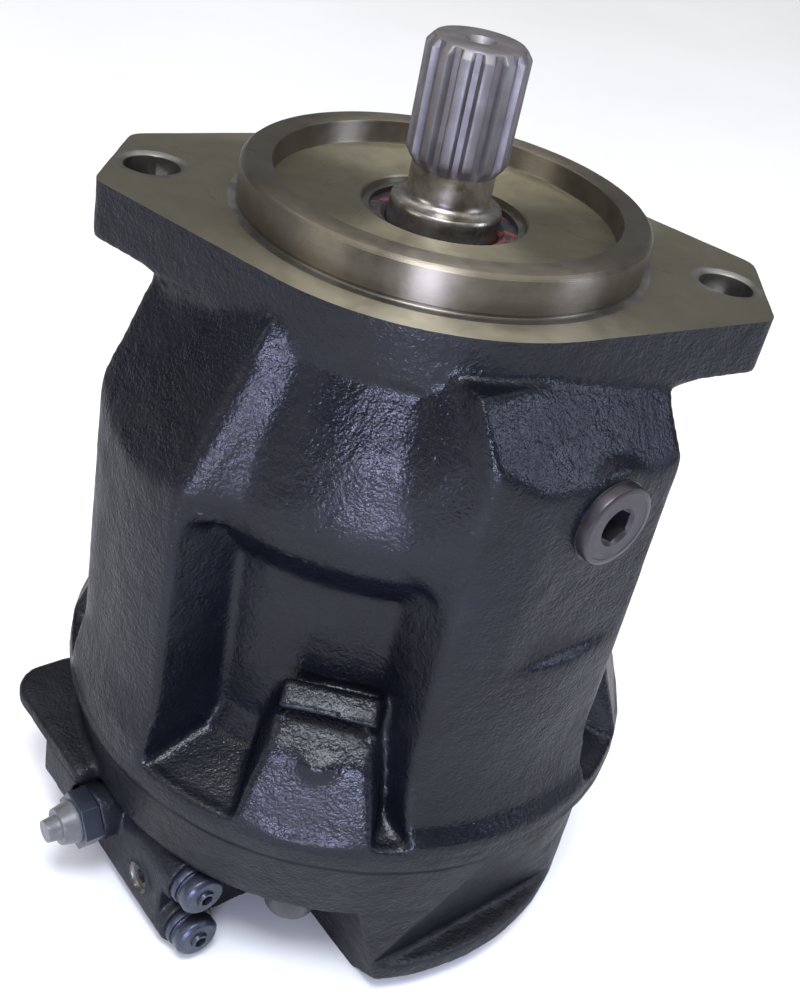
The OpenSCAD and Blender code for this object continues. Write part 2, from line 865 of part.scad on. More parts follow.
module pin_places() {
    for (a = [30, 150, 270]) rotate([0, 0, a]) translate([pin_circle_r, 0, 0]) children();
}

// Piston with its ball, hollow from below
module piston(i) {
    color("#c3c5c8") pump_frame() at_piston(i) difference() {
        union() {
            translate([0, 0, piston_bottom_z]) cylinder(d = piston_d, h = piston_top_z - piston_bottom_z - 1);
            translate([0, 0, piston_top_z - 1]) cylinder(d1 = piston_d, d2 = piston_d - 2, h = 1);
            translate([0, 0, piston_top_z - 1]) cylinder(r = piston_neck_r, h = tilt_z - piston_top_z);
            translate([0, 0, tilt_z]) sphere(r = joint_ball_r);
        }
        translate([0, 0, piston_bottom_z - cut]) cylinder(r = piston_hollow_r, h = 40);
        translate([0, 0, piston_bottom_z - cut]) cylinder(r = oil_hole_r, h = 100);
    }
}

// Slipper: flat sole against the swashplate, socket round the piston's ball
module slipper(i) {
    sole_z = face_z - slide_gap;
    color("#b58b4a") pump_frame() at_piston(i) difference() {
        union() {
            translate([0, 0, sole_z - slipper_flange_t]) cylinder(r = slipper_r, h = slipper_flange_t);
            translate([0, 0, tilt_z - 3.5]) cylinder(r = slipper_neck_r, h = 10.5);
        }
        translate([0, 0, tilt_z]) sphere(r = joint_ball_r + running_gap);
        translate([0, 0, tilt_z]) cylinder(r = 1, h = 20);
        translate([0, 0, sole_z - 0.6]) cylinder(r = 6, h = 2);
    }
}

module retaining_plate() {
    top_z = face_z - slipper_flange_t - 2 * slide_gap;
    color("#7f8287") pump_frame() difference() {
        translate([0, 0, top_z - plate_t]) cylinder(r = plate_r, h = plate_t);
        for (i = [1 : piston_count]) at_piston(i)
            translate([0, 0, -90]) cylinder(r = plate_hole_r, h = 40);
        translate([0, 0, tilt_z]) sphere(r = ball_r + running_gap);
    }
}

module retaining_ball() {
    color("#c3c5c8") pump_frame() difference() {
        intersection() {
            translate([0, 0, tilt_z]) sphere(r = ball_r);
            translate([0, 0, tilt_z - 12]) cylinder(r = 30, h = 20);
        }
        translate([0, 0, tilt_z - 20]) cylinder(r = 17.1, h = 40);
    }
}

module pressure_pins() {
    color("#c3c5c8") pump_frame() pin_places()
        translate([0, 0, block_spline_bottom_z]) cylinder(r = pin_r, h = tilt_z - 12 - block_spline_bottom_z);
}

module block_spring() {
    color("#6d6f73") pump_frame() coil(spring_mean_r, spring_wire_r, 5, spring_low_z, spring_h);
}

module block_spring_washers() {
    color("#7f8287") ring(block_core_r - 0.5, washer_inner_r, block_spline_bottom_z - washer_t, washer_t);
    color("#7f8287") ring(block_core_r, washer_inner_r, spring_low_z - washer_t, washer_t);
}

module valve_plate() {
    color("#a98a55") pump_frame() difference() {
        translate([0, 0, seam_z]) cylinder(r = 55, h = valve_plate_t - 0.02);
        translate([0, 0, seam_z - cut]) cylinder(r = 26, h = 20);
        kidney(180, 58, 5, seam_z - cut, 20);
        kidney(0, 52, 4.5, seam_z - cut, 20);
        rotate([0, 0, 90]) translate([dowel_place_r, 0, seam_z - cut]) cylinder(r = dowel_r, h = 4);
    }
}

module valve_plate_pin() {
    color("#c3c5c8") pump_frame() rotate([0, 0, 90])
        translate([dowel_place_r, 0, seam_z]) cylinder(r = dowel_r, h = 2.8);
}

// ---- Control and bias pistons ----

module control_piston() {
    color("#c3c5c8") pump_frame() translate([0, control_y, 0]) difference() {
        union() {
            translate([0, 0, tip_z]) sphere(r = tip_r);
            translate([0, 0, control_top_z]) cylinder(r = piston_stem_r, h = tip_z - control_top_z);
            translate([0, 0, control_low_z]) cylinder(r = control_r, h = control_top_z - control_low_z);
        }
        translate([0, 0, control_low_z - cut]) cylinder(r = guide_r + running_gap, h = 51);
    }
}

module control_piston_guide() {
    color("#9a9da2") pump_frame() translate([0, control_y, 0]) difference() {
        union() {
            translate([0, 0, seam_z]) cylinder(r = guide_r, h = control_guide_top_z - seam_z);
            translate([0, 0, seam_z - 16]) cylinder(r = guide_r - 2, h = 17);
        }
        translate([0, 0, seam_z - 20]) cylinder(r = control_hole_r, h = 80);
    }
}

module bias_piston() {
    color("#c3c5c8") pump_frame() translate([0, bias_y, 0]) {
        translate([0, 0, tip_z]) sphere(r = tip_r);
        translate([0, 0, bias_flange_z + bias_flange_t])
            cylinder(r = piston_stem_r, h = tip_z - bias_flange_z - bias_flange_t);
        translate([0, 0, bias_flange_z]) cylinder(r = bias_flange_r, h = bias_flange_t);
        translate([0, 0, bias_low_z]) cylinder(r = bias_stem_r, h = bias_flange_z - bias_low_z);
    }
}

module bias_piston_guide() {
    color("#9a9da2") pump_frame() translate([0, bias_y, 0]) difference() {
        union() {
            translate([0, 0, seam_z]) cylinder(r = bias_tube_r, h = bias_tube_top_z - seam_z);
            translate([0, 0, seam_z - 10]) cylinder(r = bias_stem_r, h = 11);
        }
        translate([0, 0, -168]) cylinder(r = bias_stem_r + running_gap, h = 60);
    }
}

module bias_spring() {
    color("#6d6f73") pump_frame() translate([0, bias_y, 0])
        coil(11.4, 1.8, 7, seam_z + bias_seat_t, bias_flange_z - seam_z - bias_seat_t);
}

module bias_spring_seat() {
    color("#7f8287") pump_frame() translate([0, bias_y, 0]) ring(13.6, bias_tube_r, seam_z, bias_seat_t);
}

// ---- Controller ----

module spool_line(x, z) {
    translate([0, spool_y, z]) along_x(x) children();
}

// Screws in one row between the two spools
module controller_bolt_places(y) {
    for (x = controller_bolt_x)
        translate([x, y, (upper_spool_z + lower_spool_z) / 2]) rotate([-90, 0, 0]) children();
}

// Places its children on the sensing port's axis, with +Z out of the port
module at_sensing_port() {
    translate([fitting_x, spool_y, upper_spool_z]) rotate([90, 0, 0]) children();
}

module controller_body() {
    color("#2b2d33") pump_frame() difference() {
        union() {
            translate([valve_left, valve_outer_y, lower_spool_z])
                cube([valve_length, valve_inner_y - valve_outer_y, upper_spool_z - lower_spool_z]);
            for (z = [upper_spool_z, lower_spool_z]) {
                translate([valve_left, spool_y, z - valve_lobe_r])
                    cube([valve_length, valve_inner_y - spool_y, 2 * valve_lobe_r]);
                spool_line(valve_left, z) cylinder(r = valve_lobe_r, h = valve_length + valve_nose);
            }
            translate([valve_left + 3, -105, upper_spool_z - 6]) cube([26, 20, 15]);
            at_sensing_port() cylinder(r = valve_lobe_r, h = fitting_hex_z);
        }
        for (z = [upper_spool_z, lower_spool_z]) {
            spool_line(valve_left - cut, z) cylinder(r = valve_bore_r, h = valve_length + 20);
            spool_line(spring_seat_x, z) cylinder(r = spring_bore_r, h = 30);
            spool_line(valve_left - cut, z) cylinder(r = end_plug_r, h = end_plug_h + cut);
        }
        at_sensing_port() {
            cylinder(r = sensing_hole_r, h = 30);
            translate([0, 0, 8]) cylinder(r = fitting_thread_r, h = 20);
            translate([0, 0, fitting_hex_z]) cylinder(r = fitting_af / 2 / cos(30) + touch_gap, h = 10);
        }
        controller_bolt_places(valve_outer_y - cut) {
            cylinder(r = valve_screw_r + 0.1, h = 40);
            cylinder(r = valve_screw_head_r + 0.4, h = valve_screw_head_h + 0.5 + cut);
        }
    }
}

module controller_bolts() {
    color("#37383c") pump_frame() controller_bolt_places(valve_outer_y + 0.5) difference() {
        union() {
            cylinder(r = valve_screw_head_r, h = valve_screw_head_h);
            cylinder(r = valve_screw_r, h = valve_inner_y - valve_outer_y + 13);
        }
        translate([0, 0, -cut]) cylinder(d = 5.8, h = 4, $fn = 6);
    }
}

module controller_end_plugs() {
    color("#4a4a4e") pump_frame() for (z = [upper_spool_z, lower_spool_z]) difference() {
        union() {
            spool_line(valve_left, z) cylinder(r = end_plug_r, h = end_plug_h);
            spool_line(valve_left - 3, z) cylinder(r = 8.6, h = 3);
        }
        spool_line(valve_left - 4, z) cylinder(d = 6.9, h = 6, $fn = 6);
    }
}

// Spool with two lands and a nose that carries the spring
module spool(z) {
    left = valve_left + end_plug_h + spool_travel;
    spool_line(left, z) cylinder(d = spool_d, h = 14);
    spool_line(left + 13, z) cylinder(d = spool_d - 3, h = 10);
    spool_line(left + 22, z) cylinder(d = spool_d, h = spring_seat_x - left - 22);
    spool_line(spring_seat_x, z) cylinder(r = collar_r, h = spool_collar_t);
    spool_line(spring_seat_x + 2, z) cylinder(r = 2.6, h = 4);
}

module pressure_spool() {
    color("#c3c5c8") pump_frame() spool(upper_spool_z);
}

module flow_spool() {
    color("#c3c5c8") pump_frame() spool(lower_spool_z);
}

module valve_spring(z) {
    start = spring_seat_x + spool_collar_t;
    translate([0, spool_y, z]) rotate([0, 90, 0])
        coil(valve_coil_r, valve_wire_r, 5, start, screw_seat_x - start);
}

module pressure_valve_spring() {
    color("#6d6f73") pump_frame() valve_spring(upper_spool_z);
}

module flow_valve_spring() {
    color("#6d6f73") pump_frame() valve_spring(lower_spool_z);
}

module adjusting_screws() {
    color("#8d9096") pump_frame() for (z = [upper_spool_z, lower_spool_z]) difference() {
        union() {
            spool_line(screw_seat_x, z) cylinder(r = collar_r, h = spool_collar_t);
            spool_line(screw_seat_x, z) cylinder(r = screw_r, h = screw_end_x - screw_seat_x);
        }
        spool_line(screw_end_x - 4, z) cylinder(d = 4.6, h = 6, $fn = 6);
    }
}

module adjuster_caps() {
    color("#3a3d45") pump_frame() for (z = [upper_spool_z, lower_spool_z]) difference() {
        union() {
            spool_line(valve_right + valve_nose, z) {
                cylinder(r = cap_r + 0.6, h = 3);
                cylinder(r = cap_r - 0.8, h = 5);
                translate([0, 0, 4.4]) cylinder(r = cap_r, h = 3.6);
                translate([0, 0, 8]) cylinder(r1 = cap_r, r2 = cap_r - 1.4, h = 1.4);
            }
            spool_line(screw_seat_x + 4, z)
                cylinder(r = spring_bore_r, h = valve_right + valve_nose - screw_seat_x - 3);
        }
        spool_line(screw_seat_x - cut, z) cylinder(r = screw_r, h = 40);
    }
}

module sensing_port_fitting() {
    color("#3b4150") pump_frame() at_sensing_port() difference() {
        union() {
            translate([0, 0, 9]) cylinder(r = fitting_thread_r, h = 9);
            translate([0, 0, fitting_hex_z]) cylinder(d = fitting_af / cos(30), h = 7, $fn = 6);
            translate([0, 0, 23]) cylinder(r = fitting_nose_r, h = 6);
        }
        translate([0, 0, 8]) cylinder(r = sensing_hole_r, h = 30);
    }
}

module sensing_port_cap() {
    color("#d9d9d2") pump_frame() at_sensing_port() difference() {
        union() {
            translate([0, 0, 24]) cylinder(r1 = 8, r2 = 6.6, h = 6);
            translate([0, 0, 30]) cylinder(r1 = 4.6, r2 = 4, h = 4.5);
        }
        translate([0, 0, 23]) cylinder(r = fitting_nose_r, h = 6);
    }
}

housing();
port_plate();
housing_seal_ring();
drive_shaft();
shaft_seal();
seal_retaining_ring();
front_bearing_cup();
front_bearing_cone();
front_bearing_rollers();
rear_bearing_cup();
rear_bearing_cone();
rear_bearing_rollers();
swashplate();
cradle_bearings();
cylinder_block();
piston(1);  // piston_1
piston(2);  // piston_2
piston(3);  // piston_3
piston(4);  // piston_4
piston(5);  // piston_5
piston(6);  // piston_6
piston(7);  // piston_7
piston(8);  // piston_8
piston(9);  // piston_9
slipper(1);  // slipper_1
slipper(2);  // slipper_2
slipper(3);  // slipper_3
slipper(4);  // slipper_4
slipper(5);  // slipper_5
slipper(6);  // slipper_6
slipper(7);  // slipper_7
slipper(8);  // slipper_8
slipper(9);  // slipper_9
retaining_plate();
retaining_ball();
block_spring();
block_spring_washers();
pressure_pins();
valve_plate();
valve_plate_pin();
control_piston();
control_piston_guide();
bias_piston();
bias_piston_guide();
bias_spring();
bias_spring_seat();
port_plate_bolts();
case_drain_plugs();
plug_sealing_rings();
controller_body();
controller_bolts();
controller_end_plugs();
pressure_spool();
flow_spool();
pressure_valve_spring();
flow_valve_spring();
adjusting_screws();
adjuster_caps();
sensing_port_fitting();
sensing_port_cap();
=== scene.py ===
import math

import bmesh
import bpy
import numpy as np
from mathutils import Matrix, Vector


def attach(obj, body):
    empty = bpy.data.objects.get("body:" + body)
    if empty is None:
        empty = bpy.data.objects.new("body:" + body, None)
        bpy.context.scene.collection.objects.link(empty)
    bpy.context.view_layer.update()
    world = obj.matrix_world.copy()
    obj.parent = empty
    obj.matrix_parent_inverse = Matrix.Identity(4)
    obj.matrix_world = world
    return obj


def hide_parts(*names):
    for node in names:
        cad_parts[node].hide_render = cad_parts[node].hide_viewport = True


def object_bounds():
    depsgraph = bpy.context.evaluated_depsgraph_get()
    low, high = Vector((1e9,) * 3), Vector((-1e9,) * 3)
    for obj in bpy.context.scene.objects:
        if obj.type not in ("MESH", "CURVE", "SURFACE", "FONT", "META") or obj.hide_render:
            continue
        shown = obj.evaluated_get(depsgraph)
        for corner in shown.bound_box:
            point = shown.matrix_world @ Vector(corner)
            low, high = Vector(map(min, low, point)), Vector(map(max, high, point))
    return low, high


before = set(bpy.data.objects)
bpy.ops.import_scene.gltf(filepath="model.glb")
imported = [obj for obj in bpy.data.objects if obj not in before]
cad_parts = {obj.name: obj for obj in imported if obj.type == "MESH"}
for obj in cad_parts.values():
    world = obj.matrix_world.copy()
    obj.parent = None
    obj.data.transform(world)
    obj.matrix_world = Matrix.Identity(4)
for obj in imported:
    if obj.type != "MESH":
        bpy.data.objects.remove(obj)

cad_low, cad_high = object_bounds()

MM = 0.001
# Turn of the pump body against the flange ears. Solids made in the body's own frame get it last
TURN = Matrix.Rotation(math.radians(-48), 4, "Z")
UPRIGHT = Matrix.Identity(4)

# Places of the CAD model that the skins follow, in mm
SEAM_Z, REAR_Z = -172.0, -251.0
EAR_BOLT_X = 90.5
BOLT_ANGLES = (45, 135, 225, 315)
BOLT_CIRCLE_R = 84
DRAIN_Z, DRAIN_SEAT_X, DRAIN_HEAD_X = -50, 93.2, 94.2
SPOOL_Y, SPOOL_LEVELS = -85.5, (-217.5, -240)
VALVE_BOLTS_X, VALVE_BOLT_Z = (-32, -8, 20), -228.75
SENSING_X, SENSING_Z = -5, -217.5
VALVE_X = (-41, 37)
# Ports: centre along local X, radius of the filler that the bore is cut with, long and short side of the
# tapped hole pattern, and radius of the holes' fillers. A filler is a little wider than its bore
PORTS = ((-38, 26, 77.8, 42.9, 6), (42, 13.5, 52.4, 26.2, 5))
TOOTH_R, GROOVE_R, NECK_TOP_Z = 15.6, 13.6, 18.9
# Vertices closer than these are one point, in metres
SEAM_GAP, CAD_SEAM_GAP = 1e-6, 2e-6


# ---- Materials ----

class Shade:
    """Node tree of one material, with short calls for the nodes used here."""

    def __init__(self, name, metallic=0.0, ior_level=0.5):
        self.mat = bpy.data.materials.new(name)
        self.mat.use_nodes = True
        self.tree = self.mat.node_tree
        self.tree.nodes.clear()
        self.out = self.tree.nodes.new("ShaderNodeOutputMaterial")
        self.bsdf = self.tree.nodes.new("ShaderNodeBsdfPrincipled")
        self.tree.links.new(self.bsdf.outputs["BSDF"], self.out.inputs["Surface"])
        self.bsdf.inputs["Metallic"].default_value = metallic
        self.bsdf.inputs["Specular IOR Level"].default_value = ior_level
        self.place = self.new("ShaderNodeTexCoord").outputs["Object"]
        self.height = None

    def new(self, kind):
        return self.tree.nodes.new(kind)

    def put(self, socket, value):
        if isinstance(value, bpy.types.NodeSocket):
            self.tree.links.new(value, socket)
        elif isinstance(value, (tuple, list)) and len(value) == 3 and socket.type == "RGBA":
            socket.default_value = (*value, 1.0)
        else:
            socket.default_value = value

    def noise(self, scale, detail=2.0, rough=0.5, warp=0.0, stretch=None):
        n = self.new("ShaderNodeTexNoise")
        place = self.place
        if stretch:
            m = self.new("ShaderNodeMapping")
            m.inputs["Scale"].default_value = stretch
            self.put(m.inputs["Vector"], place)
            place = m.outputs["Vector"]
        self.put(n.inputs["Vector"], place)
        n.inputs["Scale"].default_value = scale
        n.inputs["Detail"].default_value = detail
        n.inputs["Roughness"].default_value = rough
        n.inputs["Distortion"].default_value = warp
        return n.outputs["Fac"]

    def math(self, op, a, b=0.0, clamp=False):
        n = self.new("ShaderNodeMath")
        n.operation = op
        n.use_clamp = clamp
        self.put(n.inputs[0], a)
        self.put(n.inputs[1], b)
        return n.outputs[0]

    def span(self, value, low, high, to_low=0.0, to_high=1.0):
        n = self.new("ShaderNodeMapRange")
        n.clamp = True
        self.put(n.inputs["Value"], value)
        n.inputs["From Min"].default_value = low
        n.inputs["From Max"].default_value = high
        n.inputs["To Min"].default_value = to_low
        n.inputs["To Max"].default_value = to_high
        return n.outputs["Result"]

    def mix(self, share, a, b):
        n = self.new("ShaderNodeMix")
        n.data_type = "RGBA"
        self.put(n.inputs["Factor"], share)
        self.put(n.inputs["A"], a)
        self.put(n.inputs["B"], b)
        return n.outputs["Result"]

    def blend(self, share, a, b):
        n = self.new("ShaderNodeMix")
        n.data_type = "FLOAT"
        self.put(n.inputs["Factor"], share)
        self.put(n.inputs["A"], a)
        self.put(n.inputs["B"], b)
        return n.outputs["Result"]

    def mask(self, name):
        n = self.new("ShaderNodeAttribute")
        n.attribute_name = name
        return n.outputs["Fac"]

    def axis(self, letter):
        n = self.new("ShaderNodeSeparateXYZ")
        self.put(n.inputs[0], self.place)
        return n.outputs[letter]

    def radius(self):
        x, y = self.axis("X"), self.axis("Y")
        x_squared, y_squared = self.math("MULTIPLY", x, x), self.math("MULTIPLY", y, y)
        return self.math("SQRT", self.math("ADD", x_squared, y_squared))

    def bump(self, height, depth, strength=1.0):
        n = self.new("ShaderNodeBump")
        n.inputs["Strength"].default_value = strength
        n.inputs["Distance"].default_value = depth
        self.put(n.inputs["Height"], height)
        if self.height is not None:
            self.put(n.inputs["Normal"], self.height)
        self.height = n.outputs["Normal"]

    def finish(self, colour, rough, metallic=None):
        self.put(self.bsdf.inputs["Base Color"], colour)
        self.put(self.bsdf.inputs["Roughness"], rough)
        if metallic is not None:
            self.put(self.bsdf.inputs["Metallic"], metallic)
        if self.height is not None:
            self.put(self.bsdf.inputs["Normal"], self.height)
        return self.mat


# The middle colour is bare casting metal. It stands for worn paint and, on some convex housing edges, partly
# for a painted reflection.
CHALKY, BARE_METAL_AND_SHEEN, RED_GREASE = (0.075, 0.085, 0.11), (0.085, 0.078, 0.074), (0.17, 0.035, 0.028)


def enamel(name, colour, dust, rough, peel=1.0, shine=0.26):
    """Glossy enamel over a rough casting, lightened to bare metal colour where the point mask says so: real
    wear, and on some convex edges of the housing partly a painted reflection.
    """
    s = Shade(name)
    facing = s.new("ShaderNodeLayerWeight")
    facing.inputs["Blend"].default_value = 0.5
    s.put(s.bsdf.inputs["Specular IOR Level"], s.span(facing.outputs["Facing"], 0.1, 0.75, shine, 0.02))
    broad = s.noise(22, 3, 0.55, 0.4)
    lumps = s.noise(170, 3, 0.6)
    grain = s.noise(850, 2, 0.6)
    fine = s.noise(2100, 2, 0.6)
    wear_and_sheen = s.mask("wear_and_sheen")
    scuff = s.noise(420, 4, 0.65, 0.6)
    bare_and_sheen = s.span(s.math("ADD", wear_and_sheen, s.math("MULTIPLY", s.math("SUBTRACT", scuff, 0.5), 1.3)), 0.42, 0.62)
    bare_and_sheen = s.math("MULTIPLY", bare_and_sheen, s.span(wear_and_sheen, 0.02, 0.2))
    base = s.mix(s.span(broad, 0.35, 0.75), colour, dust)
    speck = s.span(s.noise(1100, 4, 0.7), 0.64, 0.72)
    base = s.mix(s.math("MULTIPLY", speck, 0.22), base, CHALKY)
    # Lightens the paint toward bare metal colour: worn paint, and on some convex housing edges partly a
    # painted reflection.
    base = s.mix(s.math("MULTIPLY", bare_and_sheen, 0.75), base, BARE_METAL_AND_SHEEN)
    gloss = s.span(s.noise(60, 4, 0.6), 0.3, 0.7, rough - 0.05, rough + 0.09)
    gloss = s.blend(bare_and_sheen, gloss, 0.5)
    s.bump(lumps, 0.0009 * peel, 0.5)
    s.bump(grain, 0.00034 * peel, 0.8)
    s.bump(fine, 0.00007 * peel, 0.6)
    return s.finish(base, gloss)


def turned_iron(name, dark, light, rough, rings=0.0, lines=0.0, stains=0.5):
    """Machined iron: turning marks, a light oil film, stains and fine handling marks."""
    s = Shade(name, metallic=0.9)
    if rings:
        around = s.new("ShaderNodeTangent")
        around.direction_type = "RADIAL"
        around.axis = "Z"
        s.put(s.bsdf.inputs["Tangent"], around.outputs["Tangent"])
        s.bsdf.inputs["Anisotropic"].default_value = 0.85
        s.bsdf.inputs["Anisotropic Rotation"].default_value = 0.25
    cloud = s.noise(38, 5, 0.62, 0.6)
    spots = s.noise(150, 5, 0.7, 0.3)
    grain = s.noise(2400, 2, 0.6)
    tone = s.math("ADD", s.math("MULTIPLY", cloud, 0.65), s.math("MULTIPLY", spots, 0.35))
    base = s.mix(s.span(tone, 0.36, 0.64), dark, light)
    blot = s.span(s.noise(75, 6, 0.72, 1.2), 0.60, 0.70)
    base = s.mix(s.math("MULTIPLY", blot, stains), base, tuple(0.35 * c for c in dark))
    gloss = s.span(s.math("ADD", tone, s.math("MULTIPLY", blot, 0.3)), 0.35, 0.8, rough - 0.06, rough + 0.14)
    if rings:
        wave = s.math("SINE", s.math("MULTIPLY", s.radius(), rings))
        s.bump(s.math("ADD", wave, s.math("MULTIPLY", grain, 0.6)), 0.00002, 0.5)
    if lines:
        streak = s.noise(30, 3, 0.6, stretch=(1, 1, lines))
        s.bump(streak, 0.00008, 0.6)
    s.bump(grain, 0.00003, 0.4)
    return s.finish(base, gloss)


def steel(name, colour, rough, metallic=0.95, grain=1800, tint=None, mottled=0.25, lines=0.0):
    """Plain steel, ground or drawn, with slight mottling."""
    s = Shade(name, metallic=metallic)
    cloud = s.noise(90, 4, 0.6, 0.4)
    fine = s.noise(grain, 3, 0.6)
    other = tint or tuple(c * (1 - mottled) for c in colour)
    base = s.mix(s.span(cloud, 0.35, 0.68), colour, other)
    gloss = s.span(s.noise(260, 4, 0.65), 0.3, 0.75, rough - 0.05, rough + 0.1)
    if lines:
        s.bump(s.noise(40, 3, 0.6, stretch=(1, 1, lines)), 0.00006, 0.5)
    s.bump(fine, 0.00004, 0.5)
    return s.finish(base, gloss)


PAINT = enamel("black_enamel", (0.0030, 0.0033, 0.0055), (0.0062, 0.0070, 0.0112), 0.25)
PLATE_PAINT = enamel("port_plate_enamel", (0.0050, 0.0053, 0.0070), (0.013, 0.0138, 0.017), 0.33, 1.5)
VALVE_PAINT = enamel("valve_enamel", (0.0055, 0.0060, 0.0090), (0.014, 0.015, 0.020), 0.30, 0.8)
FACE = turned_iron(
    "flange_face_iron", (0.235, 0.210, 0.150), (0.285, 0.258, 0.195), 0.42, rings=9000, stains=0.22)
PILOT = turned_iron(
    "pilot_iron", (0.105, 0.092, 0.069), (0.17, 0.15, 0.118), 0.36, rings=14000, lines=60, stains=0.25)
FLOOR_IRON = turned_iron(
    "recess_iron", (0.195, 0.174, 0.118), (0.265, 0.24, 0.17), 0.42, rings=7000, stains=0.3)
CUT_IRON = turned_iron("drilled_iron", (0.10, 0.095, 0.085), (0.22, 0.21, 0.19), 0.38, lines=90)
SPLINE = steel(
    "spline_steel_satin", (0.19, 0.178, 0.182), 0.5, metallic=0.85, tint=(0.13, 0.12, 0.118), lines=4)
NECK = steel("neck_steel", (0.38, 0.36, 0.34), 0.30, tint=(0.115, 0.096, 0.072), lines=80)
BEARING = steel("bearing_steel_ground", (0.55, 0.56, 0.58), 0.18)
SPRING = steel("spring_wire", (0.20, 0.20, 0.21), 0.34, tint=(0.11, 0.10, 0.095))
IRON = steel("machined_iron_inner", (0.33, 0.32, 0.30), 0.36, tint=(0.22, 0.21, 0.19))
HARD = steel("hardened_steel", (0.50, 0.50, 0.51), 0.22)
BRONZE = steel("sliding_bronze_lapped", (0.55, 0.37, 0.16), 0.3, tint=(0.40, 0.25, 0.10))
SCREW = steel("black_oxide", (0.045, 0.046, 0.05), 0.42, metallic=0.7, tint=(0.075, 0.07, 0.065))
PLUG = steel(
    "plug_black_brown", (0.040, 0.033, 0.039), 0.36, metallic=0.8, tint=(0.05, 0.046, 0.05), grain=900)
BLUED = steel(
    "blued_steel", (0.060, 0.068, 0.095), 0.34, metallic=0.75, tint=(0.036, 0.04, 0.055), grain=1100)


def rubber(name, grease):
    """Black rubber, smeared with red grease by the given share."""
    s = Shade(name, ior_level=0.5)
    smear = s.noise(95, 5, 0.65, 1.4)
    base = s.mix(s.span(s.noise(240, 3), 0.3, 0.7), (0.010, 0.010, 0.012), (0.024, 0.024, 0.028))
    patch = s.span(smear, 0.52, 0.60)
    base = s.mix(s.math("MULTIPLY", patch, grease), base, RED_GREASE)
    s.bump(s.noise(1300, 3, 0.6), 0.00008, 0.6)
    return s.finish(base, s.span(smear, 0.35, 0.65, 0.5, 0.22))


SEAL = rubber("seal_rubber_greased", 0.75)
RUBBER = rubber("black_rubber_plain", 0.0)


def milky_cap():
    """Grimy translucent plastic."""
    s = Shade("milky_cap_plastic", ior_level=0.5)
    s.bsdf.inputs["Subsurface Weight"].default_value = 0.35
    s.bsdf.inputs["Subsurface Radius"].default_value = (0.003, 0.003, 0.0025)
    base = s.mix(s.span(s.noise(160, 4, 0.6), 0.3, 0.7), (0.07, 0.071, 0.073), (0.12, 0.122, 0.125))
    grime = s.span(s.noise(300, 5, 0.7, 0.6), 0.60, 0.72)
    base = s.mix(s.math("MULTIPLY", grime, 0.5), base, (0.25, 0.23, 0.20))
    s.bump(s.noise(900, 2, 0.5), 0.00006, 0.5)
    return s.finish(base, 0.38)


CAP = milky_cap()


# ---- Solids ----

def turned(points, ring=False, steps=160):
    """Solid turned round Z from [radius, height] points in mm."""
    bm = bmesh.new()
    row = [bm.verts.new((r * MM, 0, z * MM)) for r, z in points]
    edges = [bm.edges.new(pair) for pair in zip(row, row[1:])]
    if ring:
        edges.append(bm.edges.new((row[-1], row[0])))
    bmesh.ops.spin(bm, geom=row + edges, cent=(0, 0, 0), axis=(0, 0, 1), angle=2 * math.pi, steps=steps)
    bmesh.ops.remove_doubles(bm, verts=bm.verts, dist=SEAM_GAP)
    bmesh.ops.recalc_face_normals(bm, faces=bm.faces)
    return bm


def rod(radius, low, high, at=(0, 0), steps=64):
    """Cylinder along Z at the point, in mm."""
    bm = turned([(0, low), (radius, low), (radius, high), (0, high)], steps=steps)
    bm.transform(Matrix.Translation((at[0] * MM, at[1] * MM, 0)))
    return bm


def prism(points, low, high):
    """Solid raised along Z from [x, y] points in mm."""
    bm = bmesh.new()
    base = [bm.verts.new((x * MM, y * MM, low * MM)) for x, y in points]
    top = [bm.verts.new((x * MM, y * MM, high * MM)) for x, y in points]
    bm.faces.new(base[::-1])
    bm.faces.new(top)
    n = len(points)
    for i in range(n):
        bm.faces.new((base[i], base[(i + 1) % n], top[(i + 1) % n], top[i]))
    bmesh.ops.recalc_face_normals(bm, faces=bm.faces)
    return bm


def block(x0, x1, y0, y1, z0, z1):
    return prism([(x0, y0), (x1, y0), (x1, y1), (x0, y1)], z0, z1)


def slab(z0, z1, reach=200):
    """Block wider than the pump between two levels, in mm."""
    return block(-reach, reach, -reach, reach, z0, z1)


def moved(bm, matrix):
    bm.transform(matrix)
    return bm


def facing_x(bm, x=0, y=0, z=0):
    """Turns a solid's Z axis to local +X and puts its origin at the point, in mm."""
    return moved(bm, Matrix.Translation((x * MM, y * MM, z * MM)) @ Matrix.Rotation(math.pi / 2, 4, "Y"))


def facing_front(bm, x=0, y=0, z=0):
    """Turns a solid's Z axis to local -Y and puts its origin at the point, in mm."""
    return moved(bm, Matrix.Translation((x * MM, y * MM, z * MM)) @ Matrix.Rotation(math.pi / 2, 4, "X"))


def side_prism(points, x0, x1):
    """Solid raised along local X from [y, z] points in mm."""
    bm = prism(points, x0, x1)
    turn = Matrix(((0, 0, 1, 0), (1, 0, 0, 0), (0, 1, 0, 0), (0, 0, 0, 1)))
    bm.transform(turn)
    bmesh.ops.recalc_face_normals(bm, faces=bm.faces)
    return bm


def wedge(points):
    """Convex solid round the given points in mm."""
    bm = bmesh.new()
    for point in points:
        bm.verts.new([c * MM for c in point])
    out = bmesh.ops.convex_hull(bm, input=bm.verts)
    inside = set(out["geom_interior"] + out["geom_unused"])
    loose = [item for item in inside if isinstance(item, bmesh.types.BMVert)]
    bmesh.ops.delete(bm, geom=loose, context="VERTS")
    bmesh.ops.recalc_face_normals(bm, faces=bm.faces)
    return bm


def hexagon(across_flats, low, high):
    r = across_flats / 2 / math.cos(math.pi / 6)
    turns = [math.radians(60 * k) for k in range(6)]
    return prism([(r * math.cos(a), r * math.sin(a)) for a in turns], low, high)


